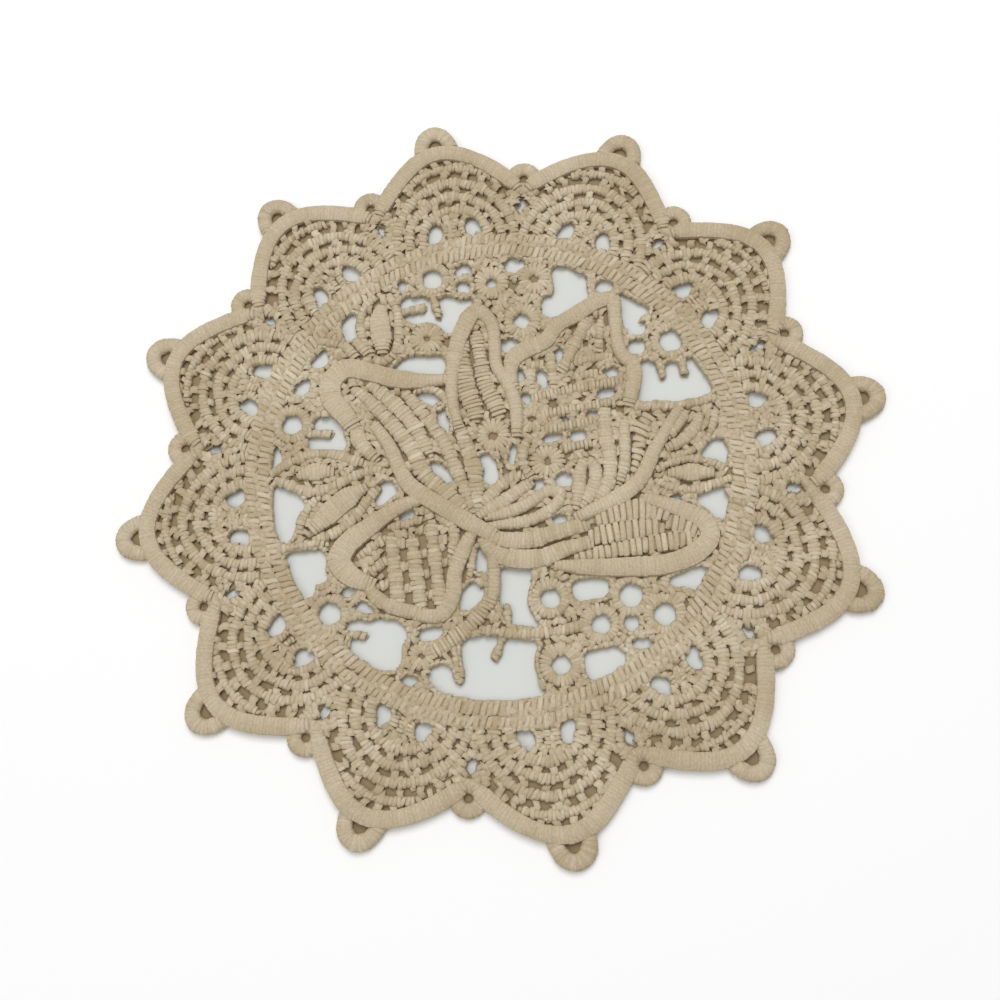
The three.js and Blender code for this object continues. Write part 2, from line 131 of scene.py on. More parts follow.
# Each row has a winding's values in their order, from height to rough, and for a tie also the end.
WINDINGS = {
    Stitch.PADDED: Winding(1.7, 0.85, 0.5, 0.4, 0.05, 3.4, 0.04, 0.03, 0.006, 0.025, 0.1),
    Stitch.LOOP: Winding(1.5, 0.65, 0.46, 0.4, 0.06, 2.8, 0.02, 0.03, 0.015, 0.03, 0.2),
    Stitch.SATIN: Winding(1.55, 0.8, 0.53, 0.38, 0.07, 3.0, 0.06, 0.06, 0.02, 0.06, 0.25),
    Stitch.RIDGE: Winding(1.5, 0.8, 0.88, 0.42, 0.17, 3.0, 0.1, 0.08, 0.04, 0.14, 0.35),
    Stitch.CORD: Winding(1.35, 0.65, 0.6, 0.38, 0.08, 2.8, 0.12, 0.1, 0.03, 0.09, 0.4),
    Stitch.BAND: Winding(1.35, 0.65, 0.57, 0.35, 0.09, 3.0, 0.08, 0.12, 0.03, 0.11, 0.45),
    Stitch.FINE: Winding(1.3, 0.6, 0.5, 0.34, 0.08, 2.8, 0.05, 0.06, 0.03, 0.08, 0.35),
    Stitch.RIB: Winding(1.4, 0.65, 0.55, 0.29, 0.11, 2.8, 0.06, 0.06, 0.03, 0.1, 0.35),
    Stitch.ROW: Winding(1.3, 0.7, 0.84, 0.42, 0.12, 3.2, 0.26, 0.1, 0.03, 0.09, 0.4),
    Stitch.TIE: Winding(1.1, 0.45, 0.74, 0.44, 0.1, 2.5, 0.1, 0.15, 0.03, 0.06, 0.4, 0.85),
}
# The kinds of stitching whose thread stays closed where it fans out on the outside of a bend.
CLOSED_UP = (Stitch.PADDED, Stitch.LOOP, Stitch.SATIN)


def unit(vectors: np.ndarray) -> np.ndarray:
    """Vectors brought to a length of 1."""
    return vectors / np.maximum(np.linalg.norm(vectors, axis=-1, keepdims=True), TINY)


def left_of(along: np.ndarray) -> np.ndarray:
    """Directions on the table, turned a quarter to the left."""
    return np.stack([-along[..., 1], along[..., 0]], axis=-1)


def filled_out(value: np.ndarray, fullness: float) -> np.ndarray:
    """A sine or cosine filled out towards a square section."""
    return np.sign(value) * np.abs(value) ** (2 / fullness)


def smooth_line(through: Sequence[Point], step: float = 0.1) -> np.ndarray:
    """A smooth line through some points, as a centripetal Catmull-Rom spline.

    Args:
        through: the points, in millimetres.
        step: distance between the line's own points.

    Returns:
        The line's points, one a row.
    """
    points = np.array(through, float)
    return spline(np.vstack([2 * points[0] - points[1], points, 2 * points[-1] - points[-2]]), step)


def smooth_loop(through: Sequence[Point], step: float) -> np.ndarray:
    """A smooth closed line through some points.

    Args:
        through: the points, in millimetres, either way round.
        step: distance between the line's own points.

    Returns:
        The line's points, one a row, counter-clockwise, without the first one again.
    """
    points = np.array(through, float)
    x, y = points.T
    if (x * np.roll(y, -1) - y * np.roll(x, -1)).sum() < 0:
        points = points[::-1]
    return spline(np.vstack([points[-1], points, points[0], points[1]]), step)[:-1]


def spline(points: np.ndarray, step: float) -> np.ndarray:
    """A centripetal Catmull-Rom spline.

    Args:
        points: its points; the first and the last only give the directions at the ends.
        step: distance between the points of the result.

    Returns:
        The line's points, one a row.
    """
    least_knot = 1e-4
    stretches = []
    for before, start, end, after in zip(points, points[1:], points[2:], points[3:]):
        bits = ((before, start), (start, end), (end, after))
        first, span, last = (max(np.sqrt(np.linalg.norm(b - a)), least_knot) for a, b in bits)
        leave = (start - before) / first - (end - before) / (first + span) + (end - start) / span
        reach = (end - start) / span - (after - start) / (span + last) + (after - end) / last
        count = max(2, int(np.linalg.norm(end - start) / step))
        share = np.linspace(0, 1, count, endpoint=False)[:, None]
        square, cube = share**2, share**3
        stretches.append(
            (2 * cube - 3 * square + 1) * start
            + (cube - 2 * square + share) * leave * span
            + (3 * square - 2 * cube) * end
            + (cube - square) * reach * span
        )
    return np.vstack([*stretches, points[-2]])


class Course:
    """The line that a cord follows on the table, with the cord's width along it.

    Attributes:
        spots: the line's points in millimetres, one a row.
        widths: the cord's widths, spread evenly along the line.
        closed: whether the line comes back to its start.
        far: how far along the line each point is.
        length: the line's length.
    """

    # How many straight bits an oval has.
    OVAL_BITS = 96
    # How far before and after a place the line is read for its direction there.
    LOOK = 0.15
    # The least roundness that an open cord's end narrows to.
    LEAST_END = 0.1

    def __init__(self, spots: np.ndarray, widths: Sequence[float], closed: bool = False) -> None:
        """Keeps the line and measures it.

        Args:
            spots: the line's points; a closed line repeats its first point at its end.
            widths: the cord's widths.
            closed: whether the line comes back to its start.
        """
        self.spots = spots
        self.widths = np.array(widths, float)
        self.closed = closed
        self.far = np.concatenate([[0], np.cumsum(np.linalg.norm(np.diff(spots, axis=0), axis=1))])
        self.length = float(self.far[-1])

    @classmethod
    def through(cls, points: Sequence[Point], widths: Sequence[float]) -> "Course":
        """A smooth open course through some points."""
        return cls(smooth_line(points), widths)

    @classmethod
    def oval(cls, centre: Point, radii: Point, width: float, lean: float = 0.0) -> "Course":
        """A closed course round an oval.

        Args:
            centre: the oval's middle, in millimetres.
            radii: its two radii.
            width: the cord's width.
            lean: how far the oval is turned, in radians.

        Returns:
            The course.
        """
        angle = np.linspace(0, 2 * np.pi, cls.OVAL_BITS + 1)
        flat = np.stack([radii[0] * np.cos(angle), radii[1] * np.sin(angle)], axis=1)
        sides = np.array([[np.cos(lean), np.sin(lean)], [-np.sin(lean), np.cos(lean)]])
        return cls(flat @ sides + np.array(centre), [width, width], closed=True)

    @classmethod
    def around(cls, loop: Sequence[Point], out: float, width: float, step: float = 0.2) -> "Course":
        """A closed course round a gap.

        Args:
            loop: the points of the gap's outline.
            out: how far outside the outline the course runs.
            width: the cord's width.
            step: distance between the course's own points.

        Returns:
            The course.
        """
        spots = smooth_loop(loop, step)
        along = unit(np.roll(spots, -1, axis=0) - np.roll(spots, 1, axis=0))
        spots = spots - out * left_of(along)
        return cls(np.vstack([spots, spots[:1]]), [width, width], closed=True)

    def held(self, distance: np.ndarray) -> np.ndarray:
        """Distances kept on the course: wrapped on a closed one, and stopped at an open one's ends."""
        return np.mod(distance, self.length) if self.closed else np.clip(distance, 0, self.length)

    def at(self, distance: np.ndarray) -> tuple[np.ndarray, np.ndarray, np.ndarray]:
        """The course at some distances from its start.

        Args:
            distance: how far along the course, in millimetres.

        Returns:
            The spots, the directions along the course there, and the cord's widths.
        """
        here = self.held(distance)
        spot, forth, back = (
            np.stack([np.interp(where, self.far, self.spots[:, axis]) for axis in (0, 1)], axis=-1)
            for where in (here, self.held(here + self.LOOK), self.held(here - self.LOOK))
        )
        width = np.interp(here, np.linspace(0, self.length, len(self.widths)), self.widths)
        if not self.closed:
            near = np.clip(2 * np.minimum(here, self.length - here) / width, self.LEAST_END, 1)
            width = width * np.sqrt(near * (2 - near))
        return spot, unit(forth - back), width


@dataclass
class Threads:
    """The thread and cores of one piece, as they are wound.

    Attributes:
        name: the piece's name.
        rng: the seeded source of the stitches' small differences.
        courses: the courses wound so far, for the stitches that lie under them.
        corners: groups of corners of the mesh, in millimetres.
        quads: groups of its faces with four corners.
        caps: its other faces.
        shades: each corner's shade.
        twists: each corner's place round and along its thread.
        count: how many corners there are.
    """

    name: str
    rng: np.random.Generator
    courses: list[Course] = field(default_factory=list)
    corners: list[np.ndarray] = field(default_factory=list)
    quads: list[np.ndarray] = field(default_factory=list)
    caps: list[np.ndarray] = field(default_factory=list)
    shades: list[np.ndarray] = field(default_factory=list)
    twists: list[np.ndarray] = field(default_factory=list)
    count: int = 0

    # The stations of one turn, as angles about the cord: over its top, and back under it.
    TOP = np.radians([0, 30, 70, 110, 150, 180])
    UNDER = np.radians([235, 305])
    # The sides of the thread, as angles about it.
    SIDES = 6
    AROUND = np.arange(SIDES) * 2 * np.pi / SIDES + np.pi / SIDES
    # The sides of a core, and how long its bits are, about.
    CORE_SIDES = 8
    CORE_STEP = 1.1
    # How far turns stray along the cord, as a share of the pitch.
    TURN_STRAY = 0.06
    # How far a turn's stations stray for a roughness of 1: along the cord as a share of the pitch, up in
    # millimetres, and in the thread's width as a share of it.
    STATION_STRAY = 0.07
    LEVEL_STRAY = 0.035
    WIDTH_STRAY = 0.14
    # The least and the most of the thread's usual width that it has by chance, and by fanning out.
    CHANCE_WIDTHS = (0.6, 1.4)
    FANNED_WIDTHS = (1, 2)
    # How much the turns' shades differ for a roughness of 1; they differ by 1 at the most.
    SHADE_SPREAD = 2.5
    # The most that a low cord's edges stand, as a share of its height.
    EDGE_SHARE = 0.55
    # The least half width of a turn and of a core.
    LEAST_TURN = 0.08
    LEAST_CORE = 0.06
    # The height of the thinnest cord, and how much higher a cord is for each millimetre of width.
    THIN_HEIGHT = 0.5
    HEIGHT_SLOPE = 0.75
    # How long the slope down to a cord's end is.
    END_SLOPE = 1.9
    # How far a core stays inside its thread: at its ends in pitches, above and aside in half depths.
    CORE_END = 0.45
    CORE_TOP = 1.4
    CORE_SIDE = 1.8
    # Where the five sections of a short stitch are along it, how high they are and how wide.
    STAPLE_ALONG = np.array([-1, -0.62, 0, 0.62, 1])
    STAPLE_RISE = np.array([0, 0.75, 1, 0.75, 0])
    STAPLE_WIDTH = np.array([0.8, 1.1, 1, 1.1, 0.8])
    # The height of its ends, and how much less than its own height its middle stands over them.
    STAPLE_LOW = 0.4
    STAPLE_SINK = 0.6
    # Half of its thickness.
    STAPLE_HALF_DEPTH = 0.17
    # Its half length, the least and the most of it, and how much that differs.
    STAPLE_REACH = 0.85
    STAPLE_REACHES = (0.5, 1.1)
    STAPLE_REACH_SPREAD = 0.14
    # How much its line sways, and its height and width differ.
    STAPLE_SWAY = 0.14
    STAPLE_LIFT = 0.09
    STAPLE_WIDTH_SPREAD = 0.05
    # How far along its thread a short stitch's ends are, for the finish.
    STAPLE_THREAD = 0.9

    def add(self, corners: np.ndarray, shade: np.ndarray, twist: np.ndarray, closed: bool) -> None:
        """Adds a tube made of rings of corners.

        Args:
            corners: rings by sides by three, in millimetres, each ring counter-clockwise about the tube.
            shade: each corner's shade, rings by sides.
            twist: each corner's place round and along the thread, rings by sides by three.
            closed: whether the last ring joins the first; otherwise both ends are capped.
        """
        rings, sides = corners.shape[:2]
        grid = np.arange(rings * sides).reshape(rings, sides) + self.count
        here = grid if closed else grid[:-1]
        there = np.roll(grid, -1, axis=0) if closed else grid[1:]
        quads = np.stack([here, np.roll(here, -1, 1), np.roll(there, -1, 1), there], axis=-1)
        self.quads.append(quads.reshape(-1, 4))
        if not closed:
            self.caps += [grid[0][::-1], grid[-1]]
        self.corners.append(corners.reshape(-1, 3))
        self.shades.append(np.broadcast_to(shade, (rings, sides)).reshape(-1))
        self.twists.append(np.broadcast_to(twist, (rings, sides, 3)).reshape(-1, 3))
        self.count += rings * sides

    def wind(self, course: Course, stitch: Stitch, height: float = 1.0) -> None:
        """Winds thread round a course, over a core.

        Args:
            course: the line and widths.
            stitch: the kind of stitching.
            height: the share of that kind's usual height.
        """
        kind = WINDINGS[stitch]
        self.courses.append(course)
        turns = max(2, round(course.length / kind.pitch))
        pitch = course.length / turns
        noise = self.rng.normal(size=(5, turns))
        distance = self.stations(course, kind, pitch, noise[:2])
        uneven = self.rng.normal(size=(3, *distance.shape)) * kind.rough
        distance = distance + self.STATION_STRAY * pitch * uneven[0]
        spot, along, width = course.at(distance)
        angle = np.concatenate([self.TOP, self.UNDER])
        side = filled_out(np.cos(angle), kind.fullness)
        rise = np.abs(filled_out(np.sin(angle), kind.fullness))
        full = self.height_at(course, kind, width, distance) * height
        edge = np.minimum(kind.edge, self.EDGE_SHARE * full)
        crown = full - kind.half_depth + kind.lift * noise[2][:, None]
        over = np.sin(angle) >= 0
        level = np.where(over, edge + (crown - edge) * rise, edge - (edge - kind.half_depth) * rise)
        level = level + np.where(over, self.LEVEL_STRAY * uneven[1], 0)
        out = width / 2 - kind.half_depth + kind.reach * noise[3][:, None]
        across = np.maximum(out, self.LEAST_TURN) * side
        thick = (1 + self.WIDTH_STRAY * uneven[2]).clip(*self.CHANCE_WIDTHS)
        if stitch in CLOSED_UP:
            laid = spot + left_of(along) * across[..., None]
            spread = np.linalg.norm(np.roll(laid, -1, axis=0) - laid, axis=2) / pitch
            spread[-1] = spread[-2]
            thick = thick * spread.clip(*self.FANNED_WIDTHS)
        shade = noise[4] * min(1, self.SHADE_SPREAD * kind.rough)
        self.thread(course, kind, spot, along, across, level, thick, shade)
        self.core(course, kind, height)

    def stations(self, course: Course, kind: Winding, pitch: float, noise: np.ndarray) -> np.ndarray:
        """Where along a course the thread passes each of its stations.

        Args:
            course: the line that is wound.
            kind: the kind of stitching.
            pitch: distance from one turn to the next.
            noise: the turns' differences in place and in slant.

        Returns:
            The distances along the course, turns by stations.
        """
        middle = (np.arange(noise.shape[1]) + 0.5) * pitch + self.TURN_STRAY * pitch * noise[0]
        slant = kind.slant + kind.slant_spread * noise[1]
        start, end = middle + slant, middle - slant
        follow = np.append(start[1:], start[0] + course.length if course.closed else start[-1] + pitch)
        top = middle[:, None] + slant[:, None] * np.cos(self.TOP)
        share = (np.arange(len(self.UNDER)) + 1) / (len(self.UNDER) + 1)
        under = end[:, None] + (follow - end)[:, None] * share
        return np.concatenate([top, under], axis=1)

    def height_at(
        self, course: Course, kind: Winding, width: np.ndarray, distance: np.ndarray
    ) -> np.ndarray:
        """How high the cord stands at some distances: lower where it is narrow and by its ends.

        Args:
            course: the line that is wound.
            kind: the kind of stitching.
            width: the cord's widths at the distances.
            distance: how far along the course, in millimetres.

        Returns:
            The heights.
        """
        full = np.minimum(kind.height, self.THIN_HEIGHT + self.HEIGHT_SLOPE * width)
        if course.closed:
            return full
        ends = np.clip(np.minimum(distance, course.length - distance) / self.END_SLOPE, 0, 1)
        return full * (kind.end + (1 - kind.end) * ends * (2 - ends))

    def thread(
        self,
        course: Course,
        kind: Winding,
        spot: np.ndarray,
        along: np.ndarray,
        across: np.ndarray,
        level: np.ndarray,
        thick: np.ndarray,
        shade: np.ndarray,
    ) -> None:
        """Makes the thread itself from the places it passes.

        Args:
            course: the line that is wound.
            kind: the kind of stitching.
            spot: the line's spots, turns by stations by two.
            along: the line's directions there.
            across: how far the thread is to the side of the line.
            level: how high it is.
            thick: the thread's width there, as a share of its usual width.
            shade: each turn's shade.
        """
        left = left_of(along)
        places = np.concatenate([spot + left * across[..., None], level[..., None]], axis=-1)
        places = places.reshape(-1, 3)
        flat = np.stack([across, level], axis=-1).reshape(-1, 2)
        ahead, behind = np.roll(flat, -1, 0), np.roll(flat, 1, 0)
        if not course.closed:
            ahead[-1], behind[0] = flat[-1], flat[0]
        out = unit(-left_of(ahead - behind))
        left3 = np.pad(left.reshape(-1, 2), ((0, 0), (0, 1)))
        along3 = np.pad(along.reshape(-1, 2), ((0, 0), (0, 1)))
        outward = left3 * out[:, :1] + np.array([0, 0, 1]) * out[:, 1:]
        corners = (
            places[:, None]
            + along3[:, None] * (kind.half_width * thick.reshape(-1, 1) * np.cos(self.AROUND))[..., None]
            + outward[:, None] * (kind.half_depth * np.sin(self.AROUND))[None, :, None]
        )
        corners[..., 2] = np.maximum(corners[..., 2], 0)
        far = np.concatenate([[0], np.cumsum(np.linalg.norm(np.diff(places, axis=0), axis=1))])
        tint = np.repeat(shade, across.shape[1])[:, None]
        self.add(corners, tint, self.twist(far), course.closed)

    def twist(self, far: np.ndarray) -> np.ndarray:
        """The place round and along its thread of each corner of some rings of corners."""
        rings = np.broadcast_arrays(np.cos(self.AROUND), np.sin(self.AROUND), far[:, None])
        return np.stack(rings, axis=-1)

    def core(self, course: Course, kind: Winding, height: float) -> None:
        """Makes the core that the thread is wound round, a little smaller than the cord.

        Args:
            course: the line and widths.
            kind: the kind of stitching.
            height: the share of that kind's usual height.
        """
        steps = max(3, round(course.length / self.CORE_STEP))
        inset = 0 if course.closed else self.CORE_END * kind.pitch
        count = steps + (not course.closed)
        distance = np.linspace(inset, course.length - inset, count, endpoint=not course.closed)
        spot, along, width = course.at(distance)
        angle = np.arange(self.CORE_SIDES) * 2 * np.pi / self.CORE_SIDES
        side = filled_out(np.cos(angle), kind.fullness)
        rise = filled_out(np.sin(angle), kind.fullness)
        full = self.height_at(course, kind, width, distance) * height
        edge = np.minimum(kind.edge, self.EDGE_SHARE * full)[:, None]
        crown = full[:, None] - self.CORE_TOP * kind.half_depth
        level = np.where(rise >= 0, edge + (crown - edge) * rise, edge + (edge - kind.half_depth) * rise)
        out = width / 2 - self.CORE_SIDE * kind.half_depth
        across = np.maximum(out, self.LEAST_CORE)[:, None] * side
        flat = spot[:, None] + left_of(along)[:, None] * across[..., None]
        corners = np.concatenate([flat, level[..., None]], axis=-1)
        # Its shade value gives the core the painted seam shade.
        self.add(corners, np.array(CORE_SHADE), np.zeros(3), course.closed)

    def plate(
        self, outline: Sequence[Point], holes: Sequence[Sequence[Point]], low: float, high: float
    ) -> None:
        """Lays a flat ground of stitches inside an outline, round some holes.

        Args:
            outline: the ground's outline, counter-clockwise, in millimetres.
            holes: the outlines of its holes, clockwise.
            low: height of its underside.
            high: height of its top.
        """
        loops = [np.array(loop, float) for loop in (outline, *holes)]
        flat = [[Vector((x, y, 0)) for x, y in loop] for loop in loops]
        faces = np.array(tessellate_polygon(flat))
        spots = np.vstack(loops)
        a, b, c = (spots[faces[:, k]] for k in range(3))
        turned = (b[:, 0] - a[:, 0]) * (c[:, 1] - a[:, 1]) < (b[:, 1] - a[:, 1]) * (c[:, 0] - a[:, 0])
        faces[turned] = faces[turned][:, ::-1]
        count = len(spots)
        corners = np.vstack([np.pad(spots, ((0, 0), (0, 1)), constant_values=z) for z in (low, high)])
        self.caps += list(faces[:, ::-1] + self.count) + list(faces + count + self.count)
        begin = self.count
        for loop in loops:
            here = np.arange(len(loop)) + begin
            there = np.roll(here, -1)
            self.quads.append(np.stack([here, there, there + count, here + count], axis=-1))
            begin += len(loop)
        self.corners.append(corners)
        # The ground takes the painted seam shade and, lying low, the painted crevice shade; in the slots
        # and pits it stands in for their shade.
        self.shades.append(np.full(2 * count, CORE_SHADE))
        self.twists.append(np.zeros((2 * count, 3)))
        self.count += 2 * count

    def staples(self, spots: np.ndarray, angles: np.ndarray, height: float, width: float = 0.45) -> None:
        """Lays short stitches that rise from the ground and go back into it.

        Args:
            spots: the stitches' middles, in millimetres.
            angles: their directions, in radians.
            height: how high they stand.
            width: half of their width, about.
        """
        count = len(spots)
        noise = self.rng.normal(size=(4, count, 1))
        size = (self.STAPLE_REACH + self.STAPLE_REACH_SPREAD * noise[0]).clip(*self.STAPLE_REACHES)
        along = np.stack([np.cos(angles), np.sin(angles)], axis=-1)
        side = left_of(along)
        sway = self.STAPLE_SWAY * self.rng.normal(size=(count, len(self.STAPLE_ALONG)))
        middle = spots[:, None] + along[:, None] * (self.STAPLE_ALONG * size)[..., None]
        middle = middle + side[:, None] * sway[..., None]
        rise = height - self.STAPLE_SINK + self.STAPLE_LIFT * noise[1]
        level = self.STAPLE_LOW + rise * self.STAPLE_RISE
        wide = (width + self.STAPLE_WIDTH_SPREAD * noise[2]) * self.STAPLE_WIDTH
        flat = middle[:, :, None] + side[:, None, None] * (wide[..., None] * np.cos(self.AROUND))[..., None]
        tall = level[..., None] + self.STAPLE_HALF_DEPTH * np.sin(self.AROUND)
        corners = np.concatenate([flat, tall[..., None]], axis=-1)
        twist = self.twist(self.STAPLE_THREAD * self.STAPLE_ALONG)
        for item in range(count):
            self.add(corners[item][:, ::-1], noise[3][item], twist[:, ::-1], closed=False)

    def piece(self, finish: "ThreadFinish") -> bpy.types.Object:
        """Makes the Blender object, dresses it, and ties it to the frame.

        Args:
            finish: the thread's finish.

        Returns:
            The object.
        """
        corners = np.vstack(self.corners) * MM
        quads = np.vstack(self.quads)
        sizes = np.concatenate([np.full(len(quads), 4), [len(cap) for cap in self.caps]]).astype(int)
        loops = np.concatenate([quads.ravel(), *self.caps]).astype(int)
        mesh = bpy.data.meshes.new(self.name)
        mesh.vertices.add(len(corners))
        mesh.vertices.foreach_set("co", corners.astype(np.float32).ravel())
        mesh.loops.add(len(loops))
        mesh.loops.foreach_set("vertex_index", loops.astype(np.int32))
        mesh.polygons.add(len(sizes))
        starts = np.concatenate([[0], np.cumsum(sizes)[:-1]])
        mesh.polygons.foreach_set("loop_start", starts.astype(np.int32))
        mesh.polygons.foreach_set("use_smooth", np.ones(len(sizes), bool))
        mesh.update(calc_edges=True)
        mesh.set_sharp_from_angle(angle=SHARP_ANGLE)
        shade = mesh.attributes.new("shade", "FLOAT", "POINT")
        shade.data.foreach_set("value", np.concatenate(self.shades).astype(np.float32))
        twist = mesh.attributes.new("twist", "FLOAT_VECTOR", "POINT")
        twist.data.foreach_set("vector", np.vstack(self.twists).astype(np.float32).ravel())
        mesh.materials.append(finish.material())
        piece = bpy.data.objects.new(self.name, mesh)
        bpy.context.scene.collection.objects.link(piece)
        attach(piece, BODY)
        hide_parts(NODE)
        triangles = int((sizes - 2).sum())
        LOG.info("%s: %d triangles, %d cords", self.name, triangles, len(self.courses))
        return piece


class Socket:
    """An output of a material's nodes, with arithmetic that adds Math nodes."""

    def __init__(self, board: "Board", socket: bpy.types.NodeSocket) -> None:
        """Keeps the socket and the board it is on."""
        self.board = board
        self.socket = socket

    def other(self, name: str) -> "Socket":
        """Another output of the same node."""
        return Socket(self.board, self.socket.node.outputs[name])

    def math(self, operation: str, *values: "Socket | float") -> "Socket":
        """A Math node on this value and others."""
        return self.board.node("ShaderNodeMath", {"operation": operation}, dict(enumerate(values)))

    def __add__(self, other: "Socket | float") -> "Socket":
        """This value plus another."""
        return self.math("ADD", self, other)

    def __sub__(self, other: "Socket | float") -> "Socket":
        """This value minus another."""
        return self.math("SUBTRACT", self, other)

    def __rsub__(self, other: float) -> "Socket":
        """A number minus this value."""
        return self.math("SUBTRACT", other, self)

    def __mul__(self, other: "Socket | float") -> "Socket":
        """This value times another."""
        return self.math("MULTIPLY", self, other)

    __radd__ = __add__
    __rmul__ = __mul__

    def sine(self) -> "Socket":
        """The sine of this value."""
        return self.math("SINE", self)

    def cosine(self) -> "Socket":
        """The cosine of this value."""
        return self.math("COSINE", self)

    def held(self, low: float, high: float) -> "Socket":
        """This value taken from low to high, as a share from 0 to 1."""
        values = {"Value": self, "From Min": low, "From Max": high}
        return self.board.node("ShaderNodeMapRange", {}, values)


class Board:
    """The nodes of one material."""

    def __init__(self, material: bpy.types.Material) -> None:
        """Clears the material's nodes and gives it an output.

        Args:
            material: the material.
        """
        material.use_nodes = True
        self.tree = material.node_tree
        self.tree.nodes.clear()
        self.output = self.tree.nodes.new("ShaderNodeOutputMaterial")

    def node(self, kind: str, settings: dict, values: dict, output: str | int = 0) -> Socket:
        """Adds a node.

        Args:
            kind: the node's type.
            settings: its own settings, set first.
            values: the values or links of its sockets, by name or number.
            output: which of its outputs to give.

        Returns:
            The output.
        """
        made = self.tree.nodes.new(kind)
        for name, value in settings.items():
            setattr(made, name, value)
        for name, value in values.items():
            if isinstance(value, Socket):
                self.tree.links.new(value.socket, made.inputs[name])
            else:
                made.inputs[name].default_value = value
        return Socket(self, made.outputs[output])

    def noise(self, place: Socket, scale: float, detail: float) -> Socket:
        """Soft noise over some coordinates."""
        return self.node("ShaderNodeTexNoise", {}, {"Vector": place, "Scale": scale, "Detail": detail})

    def mixed(self, share: Socket | float, first: Socket | Colour, second: Socket | Colour) -> Socket:
        """A colour between two colours."""
        values = {"Factor": share, 6: first, 7: second}
        return self.node("ShaderNodeMix", {"data_type": "RGBA"}, values, 2)

    def finish(self, surface: Socket) -> None:
        """Ends the material in a surface."""
        self.tree.links.new(surface.socket, self.output.inputs["Surface"])


